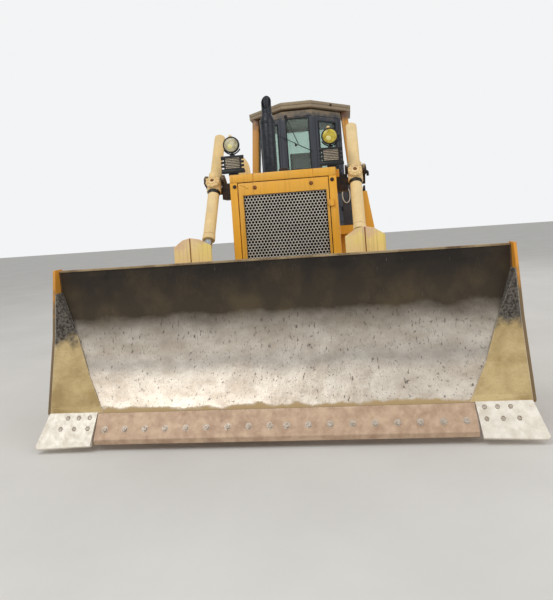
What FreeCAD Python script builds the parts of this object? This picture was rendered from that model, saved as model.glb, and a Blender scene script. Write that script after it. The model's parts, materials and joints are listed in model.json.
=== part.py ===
import FreeCAD, Part
import math
import os

# A crawler bulldozer with a straight tilt blade, its cab under a two-post roof frame.
# Frame: millimetres, +Z up, -Y forward towards the blade, +X to the machine's own left.
# The ground is z = 0, where the tips of the shoes' grousers stand.

V = FreeCAD.Vector

# Tracks
track_gauge = 2140.0
shoe_width = 560.0
shoe_count = 40
shoe_plate = 14.0
shoe_gap_share = 0.04
grouser_height = 66.0
grouser_root = 36.0
grouser_tip = 22.0
grouser_place = -0.28
link_low = 65.0
link_rise = 60.0
link_width = 46.0
link_spacing = 190.0
band_inside = 38.0
sprocket_y = 2000.0
idler_y = -1200.0
sprocket_pin_radius = 460.0
idler_pin_radius = 430.0
sprocket_teeth = 25
sprocket_tooth_depth = 46.0
sprocket_width = 62.0
sprocket_tip_rise = 8.0
tooth_tip_share = 0.14
sprocket_hub_radius = 250.0
sprocket_cover_radius = 150.0
sprocket_cover_inset = 40.0
sprocket_cover_step = 60.0
idler_web = 80.0
idler_sides = 16
idler_hub_radius = 120.0
idler_flange = 24.0
idler_rim_depth = 50.0
idler_boss_reach = 20.0
guide_gap = 6.0
hub_sides = 12
roller_count = 7
roller_tread_radius = 100.0
roller_sides = 8
top_roller_count = 2
top_roller_radius = 82.0
running_gap = 0.3
cut_reach = 5.0

# Track frames
beam_margin = 38.0
beam_height = 250.0
beam_wall_clear = 40.0
hanger_thick = 30.0
idler_arm_thick = 34.0
frame_end_gap = 32.0
beam_end_cut = 60.0
idler_arm_run = 260.0
idler_arm_half = 90.0
hanger_lap = 20.0
top_post_half = 60.0
roller_end_gap = 30.0

# Hull between the tracks
hull_half_width = 400.0
hull_bottom = 430.0
hull_top = 900.0
hull_front_y = -985.0
hull_rear_y = 2320.0
hull_nose = 130.0
hull_tail = 190.0
hull_step = 160.0
front_seat_inset = 20.0
front_seat_height = 130.0
engine_foot_length = 200.0
engine_foot_sink = 50.0
tower_front = 80.0
tower_rear = 400.0
pivot_shaft_y = 1180.0
pivot_shaft_radius = 85.0
equalizer_y = -420.0
equalizer_thick = 120.0
equalizer_lap = 60.0
final_drive_radius = 330.0
final_drive_gap = 26.0
final_drive_lap = 60.0

# Blade
blade_width = 3970.0
blade_top_y = -2550.0
blade_top_z = 1463.0
blade_low_y = -2850.0
blade_low_z = 263.0
blade_radius = 1550.0
blade_skin = 24.0
end_plate = 26.0
end_plate_top_z = 1480.0
end_plate_rear_y = -2380.0
end_plate_rear_drop = 190.0
end_plate_rear_rise = 260.0
end_plate_foot = 150.0
end_plate_low_reach = 10.0
end_plate_knee_reach = 145.0
end_plate_knee_z = 900.0
end_plate_top_reach = 65.0
end_plate_top_depth = 60.0
corner_width = 480.0
corner_fold = 10.0
corner_top_z = 1270.0
edge_lean = 33.0
edge_height = 246.0
edge_bevel = 30.0
edge_land = 6.0
edge_joint = 2.0
edge_thick = 32.0
end_bit_thick = 40.0
end_bit_height = 282.0
end_bit_rise = 8.0
end_bit_length = 460.0
end_bit_inset = 38.0
end_bit_nose = 18.0
end_bit_room = 120.0
end_bit_flare = 30.0
edge_hole_radius = 18.0
bit_holes = 3
blade_box_depth = 150.0
blade_box_height = 170.0
blade_low_box_depth = 210.0
low_box_rise = 10.0
low_box_height = 400.0
low_box_slope = 70.0
top_box_drop = 40.0
top_box_front = 60.0
blade_rib_thick = 24.0
rib_foot_rise = 300.0
rib_foot_depth = 190.0
rib_head_drop = 150.0
rib_head_depth = 130.0
skin_strips = 8
skin_gap = 0.2
inner_rib_x = 1096.0

# Push arms and their trunnions
arm_clearance = 36.0
arm_width = 176.0
arm_height = 270.0
trunnion_y = 650.0
trunnion_z = 450.0
trunnion_radius = 78.0
trunnion_cap_radius = 150.0
stub_reach = 30.0
stub_root_length = 110.0
stub_root_radius = 128.0
stub_flange_thick = 25.0
stub_flange_radius = 100.0
arm_end_half = 110.0
arm_nose = 20.0
arm_low_run = 300.0
arm_high_run = 420.0
lug_place = 750.0
lug_root_half = 130.0
lug_tip_half = 50.0
lug_rise = 250.0
lug_pin_drop = 35.0
fork_half = 50.0
fork_reach = 150.0
fork_block = 60.0
nut_place = 330.0
nut_length = 150.0
nut_grip = 24.0
tilt_rod_radius = 44.0
tilt_barrel_start = 140.0
tilt_barrel_end = 330.0
brace_top_depth = 60.0
brace_top_drop = 120.0
brace_radius = 58.0
fork_plate = 30.0
lug_half = 28.0
tilt_barrel_radius = 88.0

# Rows of the end bit's holes: distance down, first hole in from its inner end and pitch
bit_hole_rows = [(37.0, 62.0, 95.0), (125.0, 64.0, 118.0)]

# Lift cylinders, seated in yokes beside the radiator guard
lift_x = 770.0
yoke_y = -1236.0
yoke_z = 2281.0
eye_y = -2300.0
eye_z = 860.0
barrel_radius = 62.0
barrel_below_yoke = 805.0
barrel_above_yoke = 676.0
barrel_end_wall = 40.0
collar_radius = 78.0
collar_above = 85.0
collar_below = 165.0
boss_drop = 90.0
boss_radius = 78.0
boss_reach = 124.0
gland_radius = 66.0
gland_length = 60.0
tube_sides = 16
rod_sides = 16
rod_radius = 42.0
rod_length = 1500.0
rod_gap = 0.5
eye_radius = 88.0
eye_width = 96.0
eye_pin_radius = 42.0
eye_pin_out = 3.0
ear_gap = 9.0
ear_thick = 40.0
ear_radius = 100.0
ear_foot_rise = 270.0
ear_head_drop = 170.0
ear_head_depth = 40.0
ear_nose = 25.0
ear_blend = 10.0
ear_boss = 22.0
ear_boss_out = 26.0
yoke_pin_radius = 44.0
pin_seat_radius = 45.6
pin_seat_x = 60.0
yoke_cheek = 24.0
yoke_cheek_gap = 5.0
yoke_cheek_radius = 62.0
yoke_bar = 80.0
yoke_bar_back = 115.0
yoke_bar_drop = 65.0
yoke_arm_front = 50.0
yoke_arm_drop = 215.0
yoke_arm_top = 40.0

# Shields that stand over the rod ends behind the blade's top
shield_x = 800.0
shield_half_width = 180.0
shield_bottom_z = 1310.0
shield_shoulder_z = 1600.0
shield_peak_z = 1682.0
shield_y = -2300.0
shield_ridge = 70.0
shield_thick = 18.0
shield_brow_share = 0.45
shield_brow_drop = 18.0
shield_foot_depth = 60.0
shield_foot_drop = 90.0
shield_foot_height = 90.0

# Radiator guard and its perforated door
guard_half_width = 568.5
guard_front_y = -1423.0
guard_depth = 430.0
guard_top_z = 2313.0
guard_bottom_z = 760.0
guard_post = 78.0
guard_band = 86.0
guard_sill = 150.0
guard_edge_round = 18.0
door_gap = 8.0
door_thick = 34.0
door_plate = 12.0
door_strip = 142.0
door_stile = 52.0
grille_hole_radius = 58.0
grille_pitch = 150.0
grille_margin = 12.0
core_thick = 90.0
core_back_gap = 60.0
hinge_radius = 12.0
hinge_out = 14.0
hinge_tab = 44.0
hinge_inner = 4.5
hinge_nose = 2.0
hinge_length = 70.0
hinge_end_gap = 240.0

# Engine and hood
engine_half_width = 300.0
engine_front_y = -900.0
engine_rear_y = 640.0
engine_bottom_z = 920.0
engine_top_z = 1900.0
hood_half_width = 505.0
hood_rear_y = 1080.0
hood_thick = 26.0
hood_chamfer = 90.0
hood_lap = 10.0
side_door_front_y = -930.0
side_door_rear_y = 180.0
side_door_bottom_z = 1330.0
side_door_top_z = 2170.0
side_door_thick = 22.0
side_shelf = 30.0
louvre_count = 4
louvre_start = 260.0
louvre_pitch = 200.0
louvre_width = 90.0
louvre_out = 26.0
louvre_end_gap = 160.0

# Exhaust and air intake on the hood
exhaust_x = -308.0
exhaust_y = 50.0
exhaust_fat_radius = 108.0
exhaust_fat_top_z = 3140.0
exhaust_cone = 60.0
exhaust_flange = 26.0
exhaust_wall = 8.0
exhaust_mouth = 200.0
exhaust_pipe_radius = 66.0
exhaust_top_z = 3490.0
pipe_sides = 16
intake_x = -378.0
intake_y = 560.0
intake_radius = 92.0
intake_neck = 110.0
intake_lid = 250.0
intake_top = 285.0

# Deck, cab and roof frame
deck_z = 1300.0
deck_thick = 30.0
deck_front_y = 1080.0
deck_rear_y = 2660.0
deck_half_width = 1160.0
deck_front_x = 1070.0
deck_corner_y = 1500.0
deck_lip = 60.0
deck_step_inset = 120.0
ledge_front_y = 330.0
ledge_outer_x = 840.0
ledge_z = 1680.0
ledge_height = 120.0
ledge_shim = 2.0
ledge_gap = 10.0
ledge_leg = 200.0
service_width = 230.0
service_length = 600.0
service_height = 520.0
service_cap_y = 120.0
service_cap_radius = 70.0
service_cap_height = 40.0
deck_inner_x = 260.0
cab_floor_z = 1660.0
cab_top_z = 3470.0
cab_front_half = 226.0
cab_front_y = 1190.0
cab_side_x = 655.0
cab_side_y = 1690.0
cab_rear_y = 2440.0
cab_wall = 46.0
cab_floor_thick = 60.0
cab_roof_thick = 70.0
door_head_rise = 30.0
door_stile_share = 0.13
base_inset = 10.0
cab_sill_z = 2260.0
cab_front_sill_z = 2575.0
cab_head_z = 3350.0
cab_pillar = 58.0
glass_thick = 6.0
cab_door_gap = 8.0
cab_door_front_share = 0.10
cab_door_rear_share = 0.92
post_head_x = 772.0
post_foot_x = 925.0
post_width = 110.0
post_foot_inset = 26.0
post_foot_thick = 40.0
post_y = 1850.0
post_depth = 230.0
roof_low_z = 3500.0
roof_thick = 100.0
roof_half_width = 829.0
roof_corner_y = 1797.0
roof_front_y = 1130.0
roof_front_half = 231.0
roof_rear_y = 2640.0
roof_rear_half = 560.0
roof_rear_cut = 200.0
seat_y = 1740.0
seat_depth = 460.0
seat_half = 240.0
seat_height = 420.0
seat_cushion = 120.0
seat_back = 80.0
seat_back_top = 1230.0
seat_lean = 130.0
arm_rest_width = 70.0
arm_rest_lap = 10.0
arm_rest_height = 220.0
arm_rest_inset = 60.0
dash_half = 150.0
dash_depth = 240.0
dash_height = 1000.0
dash_rear_height = 900.0
lever_x = 380.0
lever_y = 1760.0
lever_radius = 18.0
lever_height = 760.0
lever_pod = 60.0
lever_pod_height = 520.0

# Tanks and rear
tank_front_y = 2470.0
tank_rear_y = 2790.0
tank_low_cut = 120.0
tank_top_cut = 125.0
filler_radius = 60.0
tank_half_width = 610.0
tank_bottom_z = 960.0
tank_top_z = 2180.0
tank_bearer_x = 200.0
tank_bearer_width = 110.0
side_tank_front_y = 1995.0
side_tank_rear_y = 2600.0
side_tank_inner_x = 846.0
side_tank_outer_x = 1120.0
side_tank_top_z = 2210.0
side_tank_slope = 110.0
side_tank_knee = 300.0
drawbar_rear_y = 3036.0
drawbar_width = 150.0
drawbar_thick = 75.0
drawbar_z = 560.0
drawbar_pin_radius = 36.0
drawbar_root = 160.0
drawbar_root_height = 330.0

# Lamps
lamp_x = 530.0
lamp_width = 250.0
lamp_height = 188.0
lamp_depth = 70.0
lamp_y = -1400.0
lamp_z = 2338.0
lamp_window_side = 45.0
lamp_window_low = 50.0
lamp_window_top = 26.0
lamp_lens_back = 14.0
lamp_slots = 3
lamp_slot = 16.0
lamp_slot_low = 62.0
lamp_slot_pitch = 38.0
lamp_slot_depth = 30.0
lamp_foot_half = 55.0
round_lamp_radius = 86.0
stalk_radius = 12.0
round_lamp_z = 2642.0
round_lamp_depth = 70.0
rear_lamp_x = 430.0
rear_lamp_half = 70.0
rear_lamp_depth = 60.0
rear_lamp_rise = 10.0

# Worked out from the sizes above
half_gauge = track_gauge / 2.0
arm_inner_x = half_gauge + shoe_width / 2.0 + arm_clearance
pin_z = grouser_height + shoe_plate + link_low
sprocket_z = pin_z + sprocket_pin_radius
idler_z = pin_z + idler_pin_radius
blade_half = blade_width / 2.0
moldboard_half = blade_half - end_plate
end_bit_inner_x = blade_half - end_bit_length
rail_top_z = pin_z + link_rise
beam_width = link_spacing + link_width + 2 * beam_margin
barrel_tilt = math.degrees(math.atan2(yoke_y - eye_y, yoke_z - eye_z))


def box(x0, x1, y0, y1, z0, z1):
    return Part.makeBox(x1 - x0, y1 - y0, z1 - z0, V(x0, y0, z0))


def rod_x(x0, x1, y, z, radius):
    return Part.makeCylinder(radius, x1 - x0, V(x0, y, z), V(1, 0, 0))


def rod_z(z0, z1, x, y, radius):
    return Part.makeCylinder(radius, z1 - z0, V(x, y, z0), V(0, 0, 1))


def faceted(start, end, radius, sides):
    """A rod of flat faces between two points, its corners on the radius."""
    way = end - start
    across = way.cross(V(1, 0, 0)) if abs(way.x) < 0.5 * way.Length else way.cross(V(0, 0, 1))
    across = across * (radius / across.Length)
    up = way.cross(across) * (1 / way.Length)
    turns = [2 * math.pi * (i + 0.5) / sides for i in range(sides)]
    return face_of([start + across * math.cos(t) + up * math.sin(t) for t in turns]).extrude(way)


def skinned(rings):
    """A solid of flat triangles through sections that have the same number of corners."""
    faces = [face_of(rings[0]), face_of(rings[-1])]
    count = len(rings[0])
    for low, high in zip(rings, rings[1:]):
        for i in range(count):
            j = (i + 1) % count
            faces.append(face_of([low[i], low[j], high[i]]))
            faces.append(face_of([low[j], high[j], high[i]]))
    solid = Part.makeSolid(Part.makeShell(faces))
    if solid.Volume < 0:
        solid.reverse()
    return solid


def face_of(points):
    return Part.Face(Part.makePolygon(points + [points[0]]))


def prism_x(yz_points, x0, x1):
    return face_of([V(x0, y, z) for y, z in yz_points]).extrude(V(x1 - x0, 0, 0))


def prism_y(xz_points, y0, y1):
    return face_of([V(x, y0, z) for x, z in xz_points]).extrude(V(0, y1 - y0, 0))


def prism_z(xy_points, z0, z1):
    return face_of([V(x, y, z0) for x, y in xy_points]).extrude(V(0, 0, z1 - z0))


def mirrored(shape):
    return shape.mirror(V(0, 0, 0), V(1, 0, 0))


def on_side(shape, side):
    return shape if side > 0 else mirrored(shape)


def fused(shapes):
    joined = shapes[0]
    if len(shapes) > 1:
        joined = shapes[0].fuse(shapes[1:])
    return joined.removeSplitter()


def apart(shapes):
    return Part.makeCompound(shapes)


# Track loop

def upper_run_tilt():
    rise = sprocket_pin_radius - idler_pin_radius
    span = math.hypot(sprocket_y - idler_y, rise)
    return math.atan2(rise, sprocket_y - idler_y) + math.asin(rise / span)


def loop_parts():
    """Lengths of the lower run, the idler's arc, the upper run and the sprocket's arc."""
    rise = sprocket_pin_radius - idler_pin_radius
    span = math.hypot(sprocket_y - idler_y, rise)
    tilt = upper_run_tilt()
    lower = sprocket_y - idler_y
    front_arc = idler_pin_radius * (math.pi - tilt)
    upper = math.sqrt(span ** 2 - rise ** 2)
    rear_arc = sprocket_pin_radius * (math.pi + tilt)
    return lower, front_arc, upper, rear_arc


def loop_point(s):
    """The point of the pin line at length s, from under the sprocket towards the idler."""
    lower, front_arc, upper, rear_arc = loop_parts()
    s = s % (lower + front_arc + upper + rear_arc)
    tilt = upper_run_tilt()
    if s < lower:
        return sprocket_y - s, pin_z
    s -= lower
    if s < front_arc:
        turn = s / idler_pin_radius
        return idler_y - idler_pin_radius * math.sin(turn), idler_z - idler_pin_radius * math.cos(turn)
    s -= front_arc
    if s < upper:
        start_y = idler_y - idler_pin_radius * math.sin(math.pi - tilt)
        start_z = idler_z - idler_pin_radius * math.cos(math.pi - tilt)
        return start_y + s * math.cos(tilt), start_z + s * math.sin(tilt)
    s -= upper
    turn = math.pi - tilt + s / sprocket_pin_radius
    return (sprocket_y - sprocket_pin_radius * math.sin(turn),
            sprocket_z - sprocket_pin_radius * math.cos(turn))


def link_frames():
    """For each link its middle, its direction along the loop, its outward normal and its length."""
    total = sum(loop_parts())
    pins = [loop_point(total * (i + 0.5) / shoe_count) for i in range(shoe_count)]
    frames = []
    for i, (y0, z0) in enumerate(pins):
        y1, z1 = pins[(i + 1) % shoe_count]
        length = math.hypot(y1 - y0, z1 - z0)
        along = ((y1 - y0) / length, (z1 - z0) / length)
        outward = (-along[1], along[0])
        frames.append(((y0 + y1) / 2, (z0 + z1) / 2, along, outward, length))
    return frames


def loop_outline(link_points):
    """One closed outline round the loop, from the points (share of length, outward) of a link."""
    outline = []
    for mid_y, mid_z, along, outward, length in link_frames():
        for share, out in link_points:
            t = share * length
            outline.append((mid_y + along[0] * t + outward[0] * out,
                            mid_z + along[1] * t + outward[1] * out))
    return outline


def shoe_outline():
    half = 0.5 - shoe_gap_share
    plate_out = link_low + shoe_plate
    tip_out = plate_out + grouser_height
    root = grouser_root / 2 / (sum(loop_parts()) / shoe_count)
    tip = grouser_tip / 2 / (sum(loop_parts()) / shoe_count)
    return loop_outline([
        (-half, link_low - shoe_plate), (-half, plate_out),
        (grouser_place - root, plate_out), (grouser_place - tip, tip_out),
        (grouser_place + tip, tip_out), (grouser_place + root, plate_out),
        (half, plate_out), (half, link_low - shoe_plate)])


def track(side):
    middle = side * half_gauge
    low_x = middle - shoe_width / 2
    outer = prism_x(shoe_outline(), low_x, low_x + shoe_width)
    inner = prism_x(loop_outline([(0.0, band_inside)]), low_x, low_x + shoe_width)
    loop = outer.cut(inner)
    rail_out = prism_x(loop_outline([(0.0, link_low - shoe_plate)]), 0, link_width)
    rail_in = prism_x(loop_outline([(-0.25, -link_rise), (0.25, -link_rise)]), 0, link_width)
    rail = rail_out.cut(rail_in)
    rails = []
    for place in (-1, 1):
        copy = rail.copy()
        copy.translate(V(middle + place * link_spacing / 2 - link_width / 2, 0, 0))
        rails.append(copy)
    return fused([loop] + rails)


def link_height_inside(pin_radius):
    """Distance from a wheel's centre to the rails' running face on the chord of a link."""
    half_link = sum(loop_parts()) / shoe_count / 2
    return math.sqrt(pin_radius ** 2 - half_link ** 2) - link_rise


def idler(side):
    """The front idler: a dished wheel whose middle flange runs between the rails."""
    middle = side * half_gauge
    tread = link_height_inside(idler_pin_radius) - running_gap
    rim_half = link_spacing / 2 + link_width / 2
    guide_half = link_spacing / 2 - link_width / 2 - guide_gap
    rings = [(idler_boss_half(), idler_hub_radius), (guide_half, tread + idler_flange), (rim_half, tread)]
    wheel = fused([wheel_disc(middle, idler_y, idler_z, half, radius, idler_sides) for half, radius in rings])
    face = middle + side * (rim_half + cut_reach)
    dish = faceted(V(middle + side * idler_web / 2, idler_y, idler_z), V(face, idler_y, idler_z),
                   tread - idler_rim_depth, idler_sides)
    hub = wheel_disc(middle, idler_y, idler_z, rim_half + cut_reach, idler_hub_radius, idler_sides)
    return wheel.cut(dish.cut(hub))


def wheel_disc(middle, y, z, half, radius, sides):
    return faceted(V(middle - half, y, z), V(middle + half, y, z), radius, sides)


def idler_boss_half():
    """Half the idler's width over its hub, which runs between the frame's two arms."""
    return link_spacing / 2 + link_width / 2 + idler_boss_reach


def beam_ends():
    """Where the track frame's beam may start and end, clear of idler and sprocket."""
    front = idler_y + link_height_inside(idler_pin_radius) + idler_flange + frame_end_gap
    rear = sprocket_y - sprocket_pin_radius - sprocket_tip_rise - frame_end_gap
    return front, rear


def sprocket(side):
    """The toothed ring with its hub and its stepped outer cover."""
    middle = side * half_gauge
    tip = sprocket_pin_radius + sprocket_tip_rise
    root = tip - sprocket_tooth_depth
    points = []
    for i in range(sprocket_teeth):
        for share, radius in ((-tooth_tip_share, tip), (tooth_tip_share, tip), (0.5, root)):
            turn = 2 * math.pi * (i + share) / sprocket_teeth
            points.append((sprocket_y + radius * math.sin(turn), sprocket_z - radius * math.cos(turn)))
    ring = prism_x(points, middle - sprocket_width / 2, middle + sprocket_width / 2)
    cover_end = half_gauge + shoe_width / 2 - sprocket_cover_inset
    steps = [(cover_end - sprocket_cover_step, sprocket_hub_radius), (cover_end, sprocket_cover_radius)]
    hubs = [on_side(faceted(V(half_gauge, sprocket_y, sprocket_z), V(end, sprocket_y, sprocket_z),
                            radius, hub_sides), side) for end, radius in steps]
    return fused([ring] + hubs)


def roller_places():
    front, rear = beam_ends()
    first = front + roller_end_gap
    last = rear - roller_end_gap
    step = (last - first) / (roller_count - 1)
    return [first + i * step for i in range(roller_count)]


def top_roller_places():
    span = sprocket_y - idler_y
    return [idler_y + span * (i + 1) / (top_roller_count + 1) for i in range(top_roller_count)]


def upper_rail_z(y):
    """Height of the rails' running face on the upper run."""
    tilt = upper_run_tilt()
    top_z = idler_z + idler_pin_radius + (y - idler_y) * math.tan(tilt)
    return top_z - link_rise / math.cos(tilt)


def rollers(side):
    """The lower rollers, flat side down on the rails, and the two that carry the upper run."""
    middle = side * half_gauge
    hanger_face = beam_width / 2 - hanger_thick - running_gap
    pieces = []
    flat = math.cos(math.pi / roller_sides)
    for y in roller_places():
        z = rail_top_z + roller_tread_radius * flat + running_gap
        pieces.append(wheel_disc(middle, y, z, hanger_face, roller_tread_radius, roller_sides))
    slope_drop = top_roller_radius * math.sin(math.pi / roller_sides) * math.tan(upper_run_tilt())
    for y in top_roller_places():
        z = upper_rail_z(y) - top_roller_radius * flat - slope_drop - running_gap
        pieces.append(wheel_disc(middle, y, z, hanger_face, top_roller_radius, roller_sides))
    return apart(pieces)


def track_frame(side):
    """The box beam that carries rollers and idler, with the stub that takes the push arm."""
    middle = half_gauge
    low_x = middle - beam_width / 2
    high_x = middle + beam_width / 2
    roller_z = rail_top_z + roller_tread_radius
    beam_z0 = roller_z + roller_tread_radius + beam_wall_clear
    beam_z1 = beam_z0 + beam_height
    front, rear = beam_ends()
    cut = beam_end_cut
    pieces = [prism_x([(front, beam_z0), (rear - cut, beam_z0), (rear, beam_z0 + cut),
                       (rear, beam_z1 - cut), (rear - cut, beam_z1), (front, beam_z1)], low_x, high_x)]
    arm_x = idler_boss_half() + running_gap
    for x0 in (middle - arm_x - idler_arm_thick, middle + arm_x):
        root_y = front + idler_arm_run
        pieces.append(prism_x([(idler_y, idler_z - idler_arm_half), (front, idler_z - idler_arm_half),
                               (root_y, beam_z0 + hanger_lap), (root_y, beam_z1 - 2 * hanger_lap),
                               (front, idler_z + idler_arm_half + hanger_lap),
                               (idler_y, idler_z + idler_arm_half)], x0, x0 + idler_arm_thick))
        middle_of_end = V(x0, idler_y, idler_z)
        pieces.append(faceted(middle_of_end, middle_of_end + V(idler_arm_thick, 0, 0), idler_arm_half, 12))
    low_z, foot_z = beam_z0 + hanger_lap, roller_z - hanger_lap
    end_z = roller_z + 2 * hanger_lap
    for x0 in (low_x, high_x - hanger_thick):
        pieces.append(prism_x([(front, low_z), (front, end_z), (front + 2 * hanger_lap, foot_z),
                               (rear - 2 * hanger_lap, foot_z), (rear, end_z), (rear, low_z)],
                              x0, x0 + hanger_thick))
    for y in top_roller_places():
        z = upper_rail_z(y) - top_roller_radius
        for x0 in (low_x, high_x - hanger_thick):
            pieces.append(box(x0, x0 + hanger_thick, y - top_post_half, y + top_post_half,
                              beam_z1 - hanger_lap / 2, z + top_post_half / 2))
    stub_end = arm_inner_x + arm_width + stub_reach
    pieces.append(rod_x(high_x - hanger_thick, stub_end, trunnion_y, trunnion_z, trunnion_radius))
    for x0, x1, radius in ((high_x - cut_reach, high_x + stub_root_length, stub_root_radius),
                           (stub_end - stub_flange_thick, stub_end, stub_flange_radius)):
        pieces.append(faceted(V(x0, trunnion_y, trunnion_z), V(x1, trunnion_y, trunnion_z), radius, 12))
    return on_side(fused(pieces), side)


# Hull

def equalizer_end():
    """One end of the cross bar, from the hull's wall to its seat on the track frame."""
    beam_top = rail_top_z + 2 * roller_tread_radius + beam_wall_clear + beam_height
    seat_z = beam_top + running_gap
    outline = [(half_gauge + equalizer_lap, seat_z), (half_gauge + equalizer_lap, seat_z + equalizer_lap),
               (hull_half_width, seat_z + 2 * equalizer_lap), (hull_half_width, seat_z)]
    return prism_y(outline, equalizer_y, equalizer_y + equalizer_thick)


def main_frame():
    high = hull_top + hull_step
    hull = prism_x([(hull_front_y, hull_bottom + hull_nose / 2), (hull_front_y + hull_nose, hull_bottom),
                    (hull_rear_y - hull_tail, hull_bottom), (hull_rear_y, hull_bottom + hull_tail),
                    (hull_rear_y, high), (pivot_shaft_y, high), (pivot_shaft_y - hull_tail, hull_top),
                    (hull_front_y, hull_top)],
                   -hull_half_width, hull_half_width)
    inner = half_gauge - beam_width / 2
    beam_z = rail_top_z + 2 * roller_tread_radius + beam_wall_clear + beam_height / 2
    pivot = faceted(V(-inner, pivot_shaft_y, beam_z), V(inner, pivot_shaft_y, beam_z), pivot_shaft_radius, 12)
    front_seat = box(-guard_half_width, guard_half_width, guard_front_y + front_seat_inset,
                     hull_front_y + hull_tail, guard_bottom_z - front_seat_height, guard_bottom_z)
    foot_y, foot_end_y = engine_front_y + engine_foot_length, engine_front_y + 2 * engine_foot_length
    towers = []
    for side in (-1, 1):
        towers.append(on_side(box(engine_half_width / 2, engine_half_width, foot_y, foot_end_y,
                                  hull_top - engine_foot_sink, engine_bottom_z), side))
        towers.append(on_side(box(deck_inner_x, hull_half_width, deck_front_y + tower_front,
                                  deck_rear_y - tower_rear, hull_top, deck_z - deck_thick), side))
        towers.append(on_side(box(tank_bearer_x, tank_bearer_x + tank_bearer_width, hull_rear_y - hull_nose,
                                  tank_rear_y - hull_tail, tank_bottom_z - tank_bearer_width, tank_bottom_z),
                              side))
    bar = [equalizer_end(), mirrored(equalizer_end())]
    return fused([hull, pivot, front_seat] + towers + bar)


def final_drive(side):
    """The reduction housing between the hull and the sprocket."""
    sprocket_face = half_gauge - sprocket_width / 2
    drum_end = half_gauge - beam_width / 2 - final_drive_gap
    drum_start = half_gauge - shoe_width / 2 - final_drive_lap
    steps = [(hull_half_width, drum_end, final_drive_radius * 0.72),
             (drum_start, drum_end, final_drive_radius),
             (drum_start, sprocket_face, sprocket_hub_radius * 0.8)]
    return on_side(fused([faceted(V(x0, sprocket_y, sprocket_z), V(x1, sprocket_y, sprocket_z), radius,
                                  hub_sides) for x0, x1, radius in steps]), side)


def drawbar():
    bar = box(-drawbar_width, drawbar_width, hull_rear_y, drawbar_rear_y - drawbar_width,
              drawbar_z, drawbar_z + drawbar_thick)
    middle = V(0, drawbar_rear_y - drawbar_width, drawbar_z)
    nose = faceted(middle, middle + V(0, 0, drawbar_thick), drawbar_width, 16)
    upper = box(-drawbar_width, drawbar_width, hull_rear_y, hull_rear_y + drawbar_root,
                drawbar_z + drawbar_thick, drawbar_z + drawbar_root_height)
    hole = rod_z(drawbar_z - cut_reach, drawbar_z + drawbar_thick + cut_reach, 0,
                 drawbar_rear_y - drawbar_width, drawbar_pin_radius)
    return fused([bar, nose, upper]).cut(hole)


# Blade

def arc_centre():
    """Centre of the moldboard's face, in front of the chord from its low to its top edge."""
    chord_y = blade_top_y - blade_low_y
    chord_z = blade_top_z - blade_low_z
    half = math.hypot(chord_y, chord_z) / 2
    reach = math.sqrt(blade_radius ** 2 - half ** 2)
    return ((blade_top_y + blade_low_y) / 2 - reach * chord_z / (2 * half),
            (blade_top_z + blade_low_z) / 2 + reach * chord_y / (2 * half))


def face_y(z, behind=0.0):
    """Y of the moldboard's face at height z, or of the surface a skin's thickness behind it."""
    centre_y, centre_z = arc_centre()
    return centre_y + math.sqrt((blade_radius + behind) ** 2 - (z - centre_z) ** 2)


def arc_band(inner_radius, outer_radius, x0, x1):
    """The moldboard's curved section between two radii about its centre."""
    centre_y, centre_z = arc_centre()

    def at(radius, turn):
        return V(x0, centre_y + radius * math.cos(turn), centre_z + radius * math.sin(turn))

    low = math.atan2(blade_low_z - centre_z, blade_low_y - centre_y)
    top = math.atan2(blade_top_z - centre_z, blade_top_y - centre_y)
    middle = (low + top) / 2
    edges = [Part.Arc(at(inner_radius, low), at(inner_radius, middle), at(inner_radius, top)).toShape(),
             Part.LineSegment(at(inner_radius, top), at(outer_radius, top)).toShape(),
             Part.Arc(at(outer_radius, top), at(outer_radius, middle), at(outer_radius, low)).toShape(),
             Part.LineSegment(at(outer_radius, low), at(inner_radius, low)).toShape()]
    return Part.Face(Part.Wire(edges)).extrude(V(x1 - x0, 0, 0))


def moldboard():
    return arc_band(blade_radius, blade_radius + blade_skin, -moldboard_half, moldboard_half)


def end_plate_front_y(z):
    """The end plate's front edge, which stands before the moldboard's face."""
    low_y = blade_low_y - end_plate_low_reach
    knee_y = blade_top_y - end_plate_knee_reach
    top_y = blade_top_y - end_plate_top_reach
    if z < end_plate_knee_z:
        return low_y + (knee_y - low_y) * (z - blade_low_z) / (end_plate_knee_z - blade_low_z)
    return knee_y + (top_y - knee_y) * (z - end_plate_knee_z) / (end_plate_top_z - end_plate_knee_z)


def blade_end_plate(side):
    """The upright plate that closes the blade's end."""
    outline = [(end_plate_front_y(blade_low_z), blade_low_z),
               (end_plate_front_y(end_plate_knee_z), end_plate_knee_z),
               (end_plate_front_y(end_plate_top_z), end_plate_top_z),
               (blade_top_y + end_plate_top_depth, end_plate_top_z),
               (end_plate_rear_y, blade_top_z - end_plate_rear_drop),
               (end_plate_rear_y, blade_low_z + end_plate_rear_rise),
               (blade_low_y + end_plate_foot, blade_low_z)]
    return on_side(prism_x(outline, moldboard_half, blade_half).cut(edge_seat()), side)


# Inner edge of the folded corner: height as a share of the corner, distance in from the end
corner_edge = [(0.0, 1.0), (0.06, 0.90), (0.28, 0.60), (0.62, 0.30), (1.0, 0.02)]


def blade_corner(side):
    """The folded corner plate, wide at the foot and running out under the end plate's top."""
    rings = []
    for height_share, width_share in corner_edge:
        z = blade_low_z + (corner_top_z - blade_low_z) * height_share
        front = end_plate_front_y(z)
        skin = face_y(z)
        inner_x = moldboard_half - corner_width * width_share
        points = [V(moldboard_half, front, z), V(inner_x, skin - corner_fold, z), V(inner_x, skin, z),
                  V(moldboard_half, skin, z)]
        rings.append(points)
    return on_side(skinned(rings).cut(edge_seat()), side)


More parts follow.
